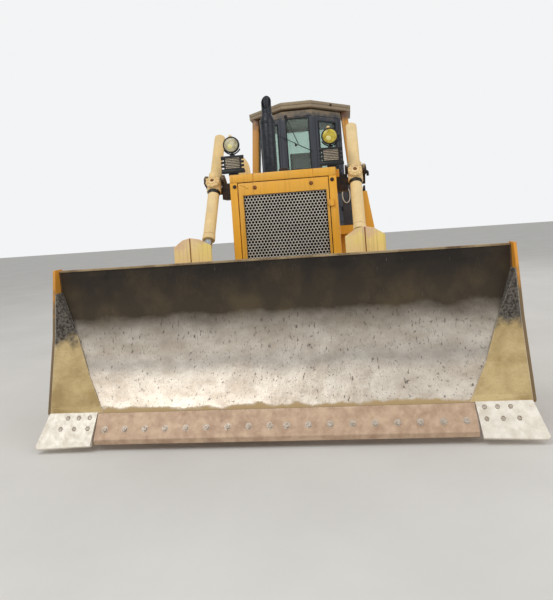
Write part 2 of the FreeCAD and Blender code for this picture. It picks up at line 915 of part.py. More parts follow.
def edge_seat():
    """The room of the end bit's plate, which the pieces above it leave free."""
    top = -end_bit_rise - running_gap
    low = end_bit_height + cut_reach
    outline = [edge_plane(top, 0), edge_plane(top, end_bit_room), edge_plane(low, end_bit_room),
               edge_plane(low, 0)]
    return prism_x(outline, end_bit_inner_x - end_bit_room, blade_half + end_bit_room)


def edge_plane(along, out):
    """(y, z) at a distance down the cutting edge from its top and out from its seat."""
    lean = math.radians(edge_lean)
    return (blade_low_y - along * math.sin(lean) - out * math.cos(lean),
            blade_low_z - along * math.cos(lean) + out * math.sin(lean))


def cutting_edge():
    """The long edge, sharpened along its foot, between both end bits."""
    outline = [edge_plane(0, 0), edge_plane(0, edge_thick), edge_plane(edge_height - edge_bevel, edge_thick),
               edge_plane(edge_height, edge_land), edge_plane(edge_height, 0)]
    half = end_bit_inner_x - edge_joint
    return prism_x(outline, -half, half)


def end_bit(side):
    """The corner bit: a thick plate flared outwards and cut to a slant, with two rows of holes."""
    lean = math.radians(edge_lean)
    outward = V(0, -math.cos(lean), math.sin(lean))
    low_x = blade_half + end_bit_flare
    corners = [(end_bit_inner_x, -end_bit_rise), (blade_half - end_bit_inset, -end_bit_rise),
               (low_x, end_bit_height - end_bit_nose), (low_x - end_bit_nose, end_bit_height),
               (end_bit_inner_x + end_bit_nose, end_bit_height - end_bit_nose)]
    plate = face_of([V(x, *edge_plane(along, 0)) for x, along in corners]).extrude(outward * end_bit_thick)
    holes = []
    for along, first, pitch in bit_hole_rows:
        for i in range(bit_holes):
            x = end_bit_inner_x + first + pitch * i
            holes.append(faceted(V(x, *edge_plane(along, -cut_reach)),
                                 V(x, *edge_plane(along, end_bit_thick + cut_reach)), edge_hole_radius, 6))
    return on_side(plate.cut(holes), side)


def blade_back():
    """Box beams and ribs behind the moldboard, with the clevises of both lift rods."""
    pieces = blade_boxes()
    for x in (outer_rib_x(), inner_rib_x):
        pieces += [blade_rib(x), mirrored(blade_rib(x))]
    foot_z = blade_low_z + ear_foot_rise
    head_z = blade_top_z - ear_head_drop
    bend = ear_radius * 0.7
    outline = [(face_y(foot_z), foot_z), (eye_y - ear_nose, eye_z - ear_radius + ear_blend),
               (eye_y + bend, eye_z - bend), (eye_y + bend, eye_z + bend),
               (eye_y - ear_nose, eye_z + ear_radius + ear_blend),
               (face_y(head_z) + blade_skin + ear_head_depth, head_z), (face_y(head_z), head_z)]
    (inner_low, inner_high), (outer_low, outer_high) = clevis_ears()
    boss = eye_pin_radius + ear_boss
    for side in (-1, 1):
        for low, high in clevis_ears():
            disc = faceted(V(low, eye_y, eye_z), V(high, eye_y, eye_z), ear_radius, 12)
            pieces.append(on_side(prism_x(outline, low, high).fuse(disc), side))
        for low, high in ((inner_low - ear_boss_out, inner_low), (outer_high, outer_high + ear_boss_out)):
            pieces.append(on_side(faceted(V(low, eye_y, eye_z), V(high, eye_y, eye_z), boss, 12), side))
    return fused(pieces).cut(skin_room())


def skin_room():
    """The room of the moldboard and of what lies before it, its rear wall in flat strips."""
    centre_y, centre_z = arc_centre()
    low = math.atan2(blade_low_z - centre_z, blade_low_y - centre_y)
    top = math.atan2(blade_top_z - centre_z, blade_top_y - centre_y)
    step = (top - low) / skin_strips
    far = (blade_radius + blade_skin + skin_gap) / math.cos(step / 2)
    near = blade_radius * 0.7
    turns = [low + (i - 0.5) * step for i in range(skin_strips + 2)]
    outline = [(centre_y + far * math.cos(t), centre_z + far * math.sin(t)) for t in turns]
    outline += [(centre_y + near * math.cos(t), centre_z + near * math.sin(t)) for t in (turns[-1], turns[0])]
    return prism_x(outline, -blade_half, blade_half)


def outer_rib_x():
    return arm_inner_x + arm_width


def blade_rib(x):
    """An upright plate between both box beams, behind the moldboard."""
    foot_z = blade_low_z + rib_foot_rise
    head_z = blade_top_z - rib_head_drop
    outline = [(face_y(foot_z), foot_z), (face_y(foot_z) + rib_foot_depth, foot_z),
               (face_y(head_z) + rib_head_depth, head_z), (face_y(head_z), head_z)]
    return prism_x(outline, x, x + blade_rib_thick)


def blade_boxes():
    """The low and the high box beam that stiffen the moldboard."""
    half = moldboard_half
    foot, high = blade_low_z + low_box_rise, blade_low_z + low_box_height
    shoulder = high - low_box_slope
    low_box = prism_x([(blade_low_y, foot), (blade_low_y + blade_low_box_depth, foot),
                       (face_y(high) + blade_low_box_depth - low_box_slope, shoulder),
                       (face_y(high), high)], -half, half)
    top = blade_top_z - top_box_drop
    front = blade_top_y - top_box_front
    top_box = prism_x([(front, top), (blade_top_y + blade_box_depth - top_box_drop, top),
                       (blade_top_y + blade_box_depth, top - blade_box_height),
                       (front, top - blade_box_height - top_box_front)], -half, half)
    return [low_box, top_box]


def clevis_ears():
    """X ranges of the two ears beside a rod's eye, on the machine's left."""
    inner = eye_width / 2 + ear_gap
    return ((lift_x - inner - ear_thick, lift_x - inner), (lift_x + inner, lift_x + inner + ear_thick))


def rod_shield(side):
    """The folded shield over a rod's end, ridged in the middle and arched at its top."""
    low_x, high_x = shield_x - shield_half_width, shield_x + shield_half_width
    edge_y = shield_y + shield_ridge
    plan = [(low_x, edge_y), (shield_x, shield_y), (high_x, edge_y), (high_x, edge_y + shield_thick),
            (shield_x, shield_y + shield_thick), (low_x, edge_y + shield_thick)]
    plate = prism_z(plan, shield_bottom_z, shield_peak_z + cut_reach)
    brow = shield_half_width * shield_brow_share
    brow_z = shield_peak_z - shield_brow_drop
    arch = prism_y([(low_x, shield_bottom_z), (high_x, shield_bottom_z), (high_x, shield_shoulder_z),
                    (shield_x + brow, brow_z), (shield_x, shield_peak_z), (shield_x - brow, brow_z),
                    (low_x, shield_shoulder_z)], shield_y - cut_reach, edge_y + shield_thick + cut_reach)
    plate = plate.common(arch)
    foot_y = blade_top_y + shield_foot_depth
    foot_z = blade_top_z - shield_foot_drop
    seam_y = edge_y + shield_thick / 3
    feet = [prism_x([(foot_y, foot_z), (seam_y, shield_bottom_z + shield_foot_height),
                     (seam_y, shield_bottom_z), (foot_y, shield_bottom_z)], x, x + shield_thick)
            for x in (low_x, high_x - shield_thick)]
    return on_side(fused([plate] + feet).cut(blade_boxes()), side)


def push_arm(side):
    """One arm from the blade's foot to its trunnion, deepest in the middle."""
    front_y = face_y(blade_low_z) + blade_skin
    low_z, high_z = trunnion_z - arm_height / 2, trunnion_z + arm_height / 2
    outline = [(front_y + arm_nose, trunnion_z - arm_end_half), (front_y + arm_low_run, low_z),
               (trunnion_y - arm_low_run, low_z), (trunnion_y, trunnion_z - arm_end_half),
               (trunnion_y, trunnion_z + arm_end_half), (trunnion_y - arm_high_run, high_z),
               (front_y + arm_high_run, high_z), (front_y + arm_nose, trunnion_z + arm_end_half)]
    arm = prism_x(outline, arm_inner_x, arm_inner_x + arm_width)
    cap = faceted(V(arm_inner_x, trunnion_y, trunnion_z), V(arm_inner_x + arm_width, trunnion_y, trunnion_z),
                  trunnion_cap_radius, 16)
    bore = rod_x(arm_inner_x - cut_reach, arm_inner_x + arm_width + cut_reach, trunnion_y, trunnion_z,
                 trunnion_radius + running_gap)
    lug_y, lug_z = front_y + lug_place, high_z - cut_reach
    lug = prism_x([(lug_y - lug_root_half, lug_z), (lug_y - lug_tip_half, trunnion_z + lug_rise),
                   (lug_y + lug_tip_half, trunnion_z + lug_rise), (lug_y + lug_root_half, lug_z)],
                  arm_inner_x + arm_width / 2 - lug_half, arm_inner_x + arm_width / 2 + lug_half)
    return on_side(fused([arm, cap, lug]).cut([bore, skin_room()] + blade_boxes()), side)


def brace_ends():
    """Low end on the arm's lug and high end on the blade's back, in (y, z)."""
    front_y = face_y(blade_low_z) + blade_skin
    low = (front_y + lug_place, trunnion_z + lug_rise - lug_pin_drop)
    high = (blade_top_y + brace_top_depth, blade_top_z - brace_top_drop)
    return low, high


def brace_line():
    """The brace's pin on the arm, its far end on the blade and the way between them."""
    (y0, z0), (y1, z1) = brace_ends()
    x = arm_inner_x + arm_width / 2
    start, end = V(x, y0, z0), V(x, y1, z1)
    return start, end, (end - start) * (1 / (end - start).Length)


def brace_fork(start, way):
    """Two plates beside the arm's lug, joined past it by a block."""
    up = V(0, -way.z, way.y)
    plates = []
    for low, high in ((-fork_plate - lug_half, -lug_half - running_gap),
                      (lug_half + running_gap, lug_half + fork_plate)):
        shift = V(low, 0, 0)
        side_up, reach = up * fork_half, way * fork_reach
        corners = [start + side_up, start - side_up, start - side_up + reach, start + side_up + reach]
        plates.append(face_of([c + shift for c in corners]).extrude(V(high - low, 0, 0)))
        plates.append(faceted(start + V(low, 0, 0), start + V(high, 0, 0), fork_half, 12))
    block = faceted(start + way * (fork_reach - fork_block), start + way * fork_reach,
                    lug_half + fork_plate, 12)
    return plates + [block]


def arm_brace():
    """The screw brace on the machine's right, between arm and blade."""
    start, end, way = brace_line()
    rod = faceted(start + way * (fork_reach - fork_block / 2), end, brace_radius, 12)
    nut = faceted(start + way * nut_place, start + way * (nut_place + nut_length), brace_radius + nut_grip, 6)
    return mirrored(fused([rod, nut] + brace_fork(start, way)).cut(brace_seat()))


def tilt_cylinder():
    """The tilt cylinder on the machine's left, in the brace's place."""
    start, end, way = brace_line()
    rod = faceted(start + way * (fork_reach - fork_block / 2), end, tilt_rod_radius, 12)
    barrel = faceted(start + way * tilt_barrel_start, end - way * tilt_barrel_end, tilt_barrel_radius, 16)
    return fused([rod, barrel] + brace_fork(start, way)).cut(brace_seat())


def brace_seat():
    """What a brace's upper end is cut to: the high box beam and the rib beside it."""
    return blade_boxes() + [blade_rib(outer_rib_x())]


# Lift cylinders

def down_axis():
    turn = math.radians(barrel_tilt)
    return V(0, -math.sin(turn), -math.cos(turn))


def pin_pair(radius, seat, reach, sides):
    """The two pins, or their seats, on the yoke's line beside a barrel's bore."""
    return [faceted(V(lift_x - reach, yoke_y, yoke_z), V(lift_x - seat, yoke_y, yoke_z), radius, sides),
            faceted(V(lift_x + seat, yoke_y, yoke_z), V(lift_x + reach, yoke_y, yoke_z), radius, sides)]


def lift_barrel(side):
    """The tube with its gland, the cast collar with its front boss, and the seats of the yoke's pins."""
    axis = down_axis()
    front = V(0, axis.z, -axis.y)
    yoke = V(lift_x, yoke_y, yoke_z)
    tail = yoke - axis * barrel_above_yoke
    mouth = yoke + axis * barrel_below_yoke
    tube = faceted(tail, mouth, barrel_radius, tube_sides)
    gland = faceted(mouth - axis * gland_length, mouth, gland_radius, tube_sides)
    collar = faceted(yoke - axis * collar_above, yoke + axis * collar_below, collar_radius, tube_sides)
    middle = yoke + axis * boss_drop
    boss = faceted(middle, middle + front * boss_reach, boss_radius, pipe_sides)
    bore = faceted(tail + axis * barrel_end_wall, mouth + axis * cut_reach, rod_radius + rod_gap, rod_sides)
    seats = pin_pair(pin_seat_radius, pin_seat_x, collar_radius + cut_reach, pipe_sides)
    return on_side(fused([tube, gland, collar, boss]).cut([bore] + seats), side)


def lift_rod(side):
    """The rod with its eye, and the pin's stub that the eye carries."""
    axis = down_axis()
    eye = V(lift_x, eye_y, eye_z)
    rod = faceted(eye - axis * rod_length, eye, rod_radius, rod_sides)
    head = faceted(eye - V(eye_width / 2, 0, 0), eye + V(eye_width / 2, 0, 0), eye_radius, rod_sides)
    half_pin = V(eye_width / 2 + eye_pin_out, 0, 0)
    stub = faceted(eye - half_pin, eye + half_pin, eye_pin_radius, 12)
    return on_side(fused([rod, head, stub]), side)


def yoke_bracket(side):
    """The fork on the guard's side that holds a barrel's collar on two pins, joined behind the barrel."""
    reach = collar_radius + yoke_cheek_gap
    low = lift_x - reach - yoke_cheek
    high = lift_x + reach
    bar_y, bar_end_y = yoke_y + yoke_bar_back, yoke_y + yoke_bar_back + yoke_bar
    bar_z, bar_top_z = yoke_z - yoke_bar_drop - yoke_bar, yoke_z - yoke_bar_drop
    waist = yoke_cheek_radius * 0.7
    web = [(yoke_y - waist, yoke_z - waist), (bar_y, bar_z), (bar_end_y, bar_z), (bar_end_y, bar_top_z),
           (yoke_y + waist, yoke_z + waist)]
    pieces = []
    for x0 in (low, high):
        middle = V(x0, yoke_y, yoke_z)
        pieces.append(faceted(middle, middle + V(yoke_cheek, 0, 0), yoke_cheek_radius, 12))
        pieces.append(prism_x(web, x0, x0 + yoke_cheek))
    pieces.append(box(low, high + yoke_cheek, bar_y, bar_end_y, bar_z, bar_top_z))
    pieces.append(box(guard_half_width, low + yoke_cheek, yoke_y - yoke_arm_front, bar_end_y,
                      yoke_z - yoke_arm_drop, yoke_z - yoke_arm_top))
    pins = pin_pair(yoke_pin_radius, pin_seat_x + running_gap, reach + yoke_cheek / 2, pipe_sides)
    return on_side(fused(pieces + pins), side)


# Radiator guard

def radiator_guard():
    """Two posts, a top band and a sill, open at the front for the door and behind for the core."""
    outer = box(-guard_half_width, guard_half_width, guard_front_y, guard_front_y + guard_depth,
                guard_bottom_z, guard_top_z)
    mouth = box(-guard_half_width + guard_post, guard_half_width - guard_post, guard_front_y - cut_reach,
                guard_front_y + guard_depth + cut_reach, guard_bottom_z + guard_sill,
                guard_top_z - guard_band)
    body = outer.cut(mouth)
    top_edge = [e for e in body.Edges if abs(e.BoundBox.ZMin - guard_top_z) < 0.1
                and abs(e.BoundBox.YMax - guard_front_y) < 0.1]
    return fused([body.makeFillet(guard_edge_round, top_edge)] + grille_hinge()[1])


def radiator_core():
    half = guard_half_width - guard_post - running_gap
    back = guard_front_y + guard_depth - core_back_gap
    return box(-half, half, back - core_thick, back, guard_bottom_z + guard_sill + running_gap,
               guard_top_z - guard_band - running_gap)


def door_size():
    half = guard_half_width - guard_post - door_gap
    low = guard_bottom_z + guard_sill + door_gap
    high = guard_top_z - guard_band - door_gap
    return half, low, high


def grille_door():
    """The framed door, its plate pierced by staggered round holes."""
    half, low, high = door_size()
    y0 = guard_front_y
    frame = box(-half, half, y0, y0 + door_thick, low, high)
    hollow = box(-half + door_stile, half - door_stile, y0 + door_plate, y0 + door_thick + cut_reach,
                 low + door_stile, high - door_strip)
    door = frame.cut(hollow)
    edge = grille_hole_radius + grille_margin
    row_pitch = grille_pitch * math.sqrt(3) / 2
    wide, tall = 2 * (half - door_stile - edge), high - door_strip - low - door_stile - 2 * edge
    columns, rows = int(wide / grille_pitch) + 1, int(tall / row_pitch) + 1
    first_x = -(columns - 1) * grille_pitch / 2
    first_z = low + door_stile + edge + (tall - (rows - 1) * row_pitch) / 2
    holes = []
    for row in range(rows):
        for column in range(columns - row % 2):
            x = first_x + (column + 0.5 * (row % 2)) * grille_pitch
            middle = V(x, y0 - cut_reach, first_z + row * row_pitch)
            holes.append(faceted(middle, middle + V(0, door_plate + 2 * cut_reach, 0), grille_hole_radius, 6))
    return fused([door.cut(holes)] + grille_hinge()[0])


# Hinges: the moving leaf's knuckle stands on the frame's knuckle

def hinge_knuckle(pivot, along, outward, z0, z1):
    """A knuckle on the pivot's line with a tab that reaches along the wall and down to its face."""
    px, py = pivot
    ax, ay = along
    ox, oy = outward
    tab = [(px + ox * hinge_radius * 0.6, py + oy * hinge_radius * 0.6),
           (px + ax * hinge_tab + ox * hinge_radius * 0.6, py + ay * hinge_tab + oy * hinge_radius * 0.6),
           (px + ax * hinge_tab - ox * hinge_out, py + ay * hinge_tab - oy * hinge_out),
           (px + ax * hinge_inner - ox * hinge_out, py + ay * hinge_inner - oy * hinge_out),
           (px + ax * hinge_inner - ox * hinge_nose, py + ay * hinge_inner - oy * hinge_nose), (px, py)]
    return faceted(V(px, py, z0), V(px, py, z1), hinge_radius, 8).fuse(prism_z(tab, z0, z1))


def hinge_pair(pivot, along, outward, places):
    """The knuckles of the leaf, above, and of the frame, below, at each height."""
    back = (-along[0], -along[1])
    leaf = [hinge_knuckle(pivot, along, outward, z, z + hinge_length) for z in places]
    frame = [hinge_knuckle(pivot, back, outward, z - hinge_length, z - running_gap) for z in places]
    return leaf, frame


def grille_hinge():
    half, low, high = door_size()
    pivot = (half + door_gap / 2, guard_front_y - hinge_out)
    return hinge_pair(pivot, (-1, 0), (0, -1), (low + hinge_end_gap, high - hinge_end_gap))


def engine_hinge():
    pivot = (hood_half_width + hinge_out, side_door_front_y - door_gap / 2)
    return hinge_pair(pivot, (0, 1), (1, 0), (side_door_bottom_z + 2 * hinge_length,
                                              side_door_top_z - 2 * hinge_length))


def cab_hinge():
    way_x = cab_front_half - cab_side_x
    way_y = cab_front_y - cab_side_y
    length = math.hypot(way_x, way_y)
    along = (way_x / length, way_y / length)
    outward = (-along[1], along[0])
    gap = cab_door_gap / 2 / length
    pivot = door_line(cab_door_rear_share - gap, hinge_out)
    return hinge_pair(pivot, along, outward, (cab_floor_z + hinge_end_gap, (cab_floor_z + cab_head_z) / 2,
                                              cab_head_z - hinge_end_gap))


# Engine, hood and what stands on it

def engine_block():
    return box(-engine_half_width, engine_half_width, engine_front_y, engine_rear_y,
               engine_bottom_z, engine_top_z)


def hood():
    """The top shell from the guard to the cab, chamfered along both shoulders, with its skirts."""
    front = guard_front_y + guard_depth
    half = hood_half_width
    skirt = side_door_top_z + hood_lap
    outer = prism_y(hood_section(hood_half_width, guard_top_z, skirt), front, hood_rear_y)
    inner = prism_y(hood_section(half - hood_thick, guard_top_z - hood_thick, skirt - cut_reach),
                    front - cut_reach, hood_rear_y - hood_thick)
    return outer.cut(inner)


def hood_section(half, top, low):
    """The hood's section (x, z): two walls, two chamfers and the flat top."""
    cut = hood_chamfer
    return [(-half, low), (-half, top - cut), (cut - half, top), (half - cut, top), (half, top - cut),
            (half, low)]


def side_panel(side):
    """The fixed engine side below and behind the door."""
    x0 = hood_half_width - hood_thick
    front = guard_front_y + guard_depth
    low_z = hull_top - side_shelf
    wall = box(x0, hood_half_width, front, hood_rear_y, low_z, side_door_top_z + hood_lap - running_gap)
    opening = box(x0 - cut_reach, hood_half_width + cut_reach, side_door_front_y - door_gap,
                  side_door_rear_y + door_gap, side_door_bottom_z - door_gap, side_door_top_z + 2 * hood_lap)
    shelf = box(hull_half_width, hood_half_width, front, hood_rear_y, low_z, hull_top)
    return on_side(fused([wall.cut(opening), shelf] + engine_hinge()[1]), side)


def engine_door(side):
    """The engine's side door with louvres pressed outwards, on a hinge at its front edge."""
    x1 = hood_half_width
    x0 = x1 - side_door_thick
    door = box(x0, x1, side_door_front_y, side_door_rear_y, side_door_bottom_z, side_door_top_z)
    louvres = []
    for i in range(louvre_count):
        y = side_door_front_y + louvre_start + louvre_pitch * i
        crest, middle = x1 + louvre_out, y + louvre_width / 2
        louvres.append(prism_z([(x1 - 1, y), (crest, middle), (crest, middle + louvre_out),
                                (x1 - 1, y + louvre_width)],
                               side_door_bottom_z + louvre_end_gap, side_door_top_z - louvre_end_gap))
    return on_side(fused([door] + louvres + engine_hinge()[0]), side)


def exhaust():
    """The silencer tube on the hood and its tail pipe, cut on a slant so that the mouth looks forward."""
    foot = V(exhaust_x, exhaust_y, guard_top_z)
    neck = V(exhaust_x, exhaust_y, exhaust_fat_top_z + exhaust_cone)
    top = V(exhaust_x, exhaust_y, exhaust_top_z)
    fat = faceted(foot, V(exhaust_x, exhaust_y, exhaust_fat_top_z), exhaust_fat_radius, pipe_sides)
    flange = faceted(foot, foot + V(0, 0, exhaust_flange), exhaust_fat_radius + exhaust_flange, pipe_sides)
    cone = skinned([ring_at(exhaust_fat_top_z, exhaust_fat_radius), ring_at(neck.z, exhaust_pipe_radius)])
    pipe = faceted(neck, top, exhaust_pipe_radius, pipe_sides)
    bore = faceted(neck, top + V(0, 0, cut_reach), exhaust_pipe_radius - exhaust_wall, pipe_sides)
    front_y, rear_y = exhaust_y - exhaust_pipe_radius, exhaust_y + exhaust_pipe_radius
    slant = prism_x([(front_y, exhaust_top_z - exhaust_mouth), (rear_y, exhaust_top_z),
                     (front_y, exhaust_top_z + cut_reach)],
                    exhaust_x - exhaust_fat_radius, exhaust_x + exhaust_fat_radius)
    return fused([fat, flange, cone, pipe]).cut([bore, slant])


def ring_at(height, radius):
    """The corners of the exhaust's section at a height."""
    turns = [2 * math.pi * (i + 0.5) / pipe_sides for i in range(pipe_sides)]
    return [V(exhaust_x + radius * math.cos(t), exhaust_y + radius * math.sin(t), height) for t in turns]


def air_intake():
    """The intake's neck and its pre-cleaner with a coned lid."""
    steps = [(0, intake_lid, intake_radius * 0.55), (intake_neck, intake_lid, intake_radius),
             (intake_lid, intake_top, intake_radius * 0.8)]
    return fused([faceted(V(intake_x, intake_y, guard_top_z + z0), V(intake_x, intake_y, guard_top_z + z1),
                          radius, pipe_sides) for z0, z1, radius in steps])


# Deck, cab and roof frame

def deck(side):
    """The platform beside the cab over the track, narrower in front, with its lip and front step."""
    gap = deck_thick / 2
    plan = [(deck_inner_x, deck_front_y), (deck_front_x, deck_front_y), (deck_half_width, deck_corner_y),
            (deck_half_width, deck_rear_y), (tank_half_width + gap, deck_rear_y),
            (tank_half_width + gap, tank_front_y - gap), (deck_inner_x, tank_front_y - gap)]
    plate = prism_z(plan, deck_z - deck_thick, deck_z)
    low_z, high_z = deck_z - deck_lip, deck_z + deck_lip / 3
    lip = box(deck_half_width - gap, deck_half_width, deck_corner_y, deck_rear_y, low_z, high_z)
    step = box(hood_half_width + deck_step_inset, deck_front_x, deck_front_y - gap, deck_front_y,
               low_z, high_z)
    pieces = [plate, lip, step]
    if side > 0:
        pieces += box_ledge()
    return on_side(fused(pieces), side)


def box_ledge():
    """The ledge before the left deck, which carries the service box, and its leg."""
    rear = deck_front_y - ledge_gap
    ledge = box(hood_half_width + ledge_shim, ledge_outer_x, ledge_front_y, rear,
                ledge_z - ledge_height, ledge_z)
    inside_track = half_gauge - shoe_width / 2 - 2 * ledge_gap
    leg = box(hood_half_width + ledge_shim, inside_track, rear - ledge_leg, rear, deck_z - 2 * ledge_height,
              ledge_z - ledge_gap)
    return [ledge, leg]


def service_box():
    """The dark service box in front of the deck, on its ledge, with a round cap on top."""
    x0 = ledge_outer_x - service_width
    y0 = ledge_front_y + ledge_gap
    body = box(x0, ledge_outer_x, y0, y0 + service_length, ledge_z, ledge_z + service_height)
    middle = V((x0 + ledge_outer_x) / 2, y0 + service_cap_y, ledge_z + service_height)
    cap = faceted(middle, middle + V(0, 0, service_cap_height), service_cap_radius, 12)
    return fused([body, cap])


def cab_plan(inset):
    """The cab's six-sided plan, moved in by a wall's thickness."""
    side_turn = math.atan2(cab_side_y - cab_front_y, cab_side_x - cab_front_half)
    front_in = inset * math.tan(side_turn / 2)
    side_in = inset * math.tan((math.pi / 2 - side_turn) / 2)
    right = [(cab_front_half - front_in, cab_front_y + inset),
             (cab_side_x - inset, cab_side_y + side_in),
             (cab_side_x - inset, cab_rear_y - inset)]
    left = [(-x, y) for x, y in reversed(right)]
    return right + left


def door_line(share, out=0.0):
    """A point on the cab's slanted front-side wall, from its front to its side corner."""
    way_x = cab_side_x - cab_front_half
    way_y = cab_side_y - cab_front_y
    length = math.hypot(way_x, way_y)
    return (cab_front_half + way_x * share + way_y / length * out,
            cab_front_y + way_y * share - way_x / length * out)


def cab_shell():
    """Floor, pillars, sills and roof of the cab, open for its windows and both doors."""
    outer = prism_z(cab_plan(0), cab_floor_z, cab_top_z)
    inner = prism_z(cab_plan(cab_wall), cab_floor_z + cab_floor_thick, cab_top_z - cab_roof_thick)
    cuts = [box(-front_pane_half(), front_pane_half(), cab_front_y - cab_wall, cab_front_y + 2 * cab_wall,
                cab_front_sill_z, cab_head_z)]
    front, rear = side_pane_ends()
    low, high = cab_door_front_share, cab_door_rear_share
    door = [door_line(low, cab_wall), door_line(high, cab_wall), door_line(high, -2 * cab_wall),
            door_line(low, -2 * cab_wall)]
    for side in (-1, 1):
        cuts.append(on_side(box(cab_side_x - 2 * cab_wall, cab_side_x + cab_wall, front, rear,
                                cab_sill_z, cab_head_z), side))
        cuts.append(on_side(prism_z(door, cab_floor_z + cab_floor_thick, cab_head_z + door_head_rise), side))
    cuts.append(box(-rear_pane_half(), rear_pane_half(), cab_rear_y - 2 * cab_wall, cab_rear_y + cab_wall,
                    cab_sill_z, cab_head_z))
    knuckles = cab_hinge()[1]
    return fused([outer.cut(inner).cut(cuts)] + knuckles + [mirrored(k) for k in knuckles])


def front_pane_half():
    """Half the width of the front window."""
    return cab_front_half - cab_pillar


def rear_pane_half():
    """Half the width of the rear window."""
    return cab_side_x - 2 * cab_pillar


def side_pane_ends():
    """Where the fixed side windows start and end along the cab."""
    return cab_side_y + 2 * cab_pillar, cab_rear_y - 2 * cab_pillar


def cab_base():
    """The closed base between hull, deck and cab floor."""
    front_half = hood_half_width - base_inset
    rear_half = cab_side_x - cab_pillar
    plan = [(front_half, hood_rear_y + running_gap), (front_half, cab_side_y),
            (rear_half, cab_side_y + cab_pillar), (rear_half, cab_rear_y - cab_pillar / 2)]
    plan += [(-x, y) for x, y in reversed(plan)]
    return prism_z(plan, deck_z, cab_floor_z)


def cab_glass():
    """The fixed panes: front, both sides and rear."""
    mid = cab_wall / 2
    panes = [box(-front_pane_half(), front_pane_half(), cab_front_y + mid, cab_front_y + mid + glass_thick,
                 cab_front_sill_z, cab_head_z)]
    front, rear = side_pane_ends()
    for side in (-1, 1):
        panes.append(on_side(box(cab_side_x - mid - glass_thick, cab_side_x - mid, front, rear,
                                 cab_sill_z, cab_head_z), side))
    panes.append(box(-rear_pane_half(), rear_pane_half(), cab_rear_y - mid - glass_thick, cab_rear_y - mid,
                     cab_sill_z, cab_head_z))
    return apart(panes)


def cab_door(side):
    """The slanted door leaf with its window cut."""
    low, high = cab_door_front_share, cab_door_rear_share
    gap = cab_door_gap / math.hypot(cab_side_x - cab_front_half, cab_side_y - cab_front_y)
    leaf = [door_line(low + gap, 0), door_line(high - gap, 0),
            door_line(high - gap, -cab_wall), door_line(low + gap, -cab_wall)]
    body = prism_z(leaf, cab_floor_z + cab_floor_thick + cab_door_gap,
                   cab_head_z + door_head_rise - cab_door_gap)
    front, rear = low + door_stile_share, high - door_stile_share
    hole = [door_line(front, cab_wall), door_line(rear, cab_wall), door_line(rear, -2 * cab_wall),
            door_line(front, -2 * cab_wall)]
    body = body.cut(prism_z(hole, cab_sill_z - cab_pillar, cab_head_z - cab_pillar))
    return on_side(fused([body] + cab_hinge()[0]), side)


def cab_door_glass(side):
    """The door's pane, set in the middle of the leaf."""
    front, rear = cab_door_front_share + door_stile_share, cab_door_rear_share - door_stile_share
    face = -cab_wall / 2
    pane = [door_line(front, face), door_line(rear, face), door_line(rear, face - glass_thick),
            door_line(front, face - glass_thick)]
    return on_side(prism_z(pane, cab_sill_z - cab_pillar, cab_head_z - cab_pillar), side)


def seat():
    """The operator's seat: cushion, high leaning back and two arm rests on a plinth."""
    floor = cab_floor_z + cab_floor_thick
    cushion_z = floor + seat_height
    top_z = floor + seat_back_top
    rear_y = seat_y + seat_depth
    plinth = box(-seat_half * 0.76, seat_half * 0.76, seat_y + arm_rest_inset, rear_y - arm_rest_inset,
                 floor, cushion_z - seat_cushion)
    cushion = box(-seat_half, seat_half, seat_y, rear_y, cushion_z - seat_cushion, cushion_z)
    back = prism_x([(rear_y - seat_back, cushion_z), (rear_y, cushion_z), (rear_y + seat_lean, top_z),
                    (rear_y + seat_lean - seat_back, top_z)], -seat_half, seat_half)
    arm = box(seat_half - arm_rest_lap, seat_half + arm_rest_width, seat_y + arm_rest_inset,
              rear_y - arm_rest_inset, cushion_z - seat_cushion / 2, cushion_z + arm_rest_height)
    return fused([plinth, cushion, back, arm, mirrored(arm)])


def console():
    """The dash behind the front window with both side levers' pods."""
    floor = cab_floor_z + cab_floor_thick
    front = cab_front_y + 2 * cab_wall
    dash = prism_x([(front, floor), (front + dash_depth, floor),
                    (front + dash_depth * 0.7, floor + dash_rear_height), (front, floor + dash_height)],
                   -dash_half, dash_half)
    pieces = [dash]
    for x in (-lever_x, lever_x):
        pod = box(x - lever_pod, x + lever_pod, lever_y - lever_pod, lever_y + 3 * lever_pod, floor,
                  floor + lever_pod_height)
        pieces.append(pod.fuse(faceted(V(x, lever_y, floor), V(x, lever_y, floor + lever_height),
                                       lever_radius, 8)))
    return apart(pieces)


def roof_frame():
    """The roof plate with its six-sided front, on two leaning posts that stand on the decks."""
    plan = [(roof_front_half, roof_front_y), (roof_half_width, roof_corner_y),
            (roof_half_width, roof_rear_y - roof_rear_cut), (roof_rear_half, roof_rear_y)]
    plan += [(-x, y) for x, y in reversed(plan)]
    pieces = [prism_z(plan, roof_low_z, roof_low_z + roof_thick)]
    front, rear = post_y - post_depth / 2, post_y + post_depth / 2
    post = prism_y([(post_foot_x - post_width, deck_z), (post_foot_x, deck_z), (post_head_x, roof_low_z),
                    (post_head_x - post_width, roof_low_z)], front, rear)
    foot = box(post_foot_x - post_width - post_foot_inset, post_foot_x + post_foot_inset,
               front - post_foot_inset, rear + post_foot_inset, deck_z, deck_z + post_foot_thick)
    for side in (-1, 1):
        pieces += [on_side(post, side), on_side(foot, side)]
    return fused(pieces)


# Tanks and lamps

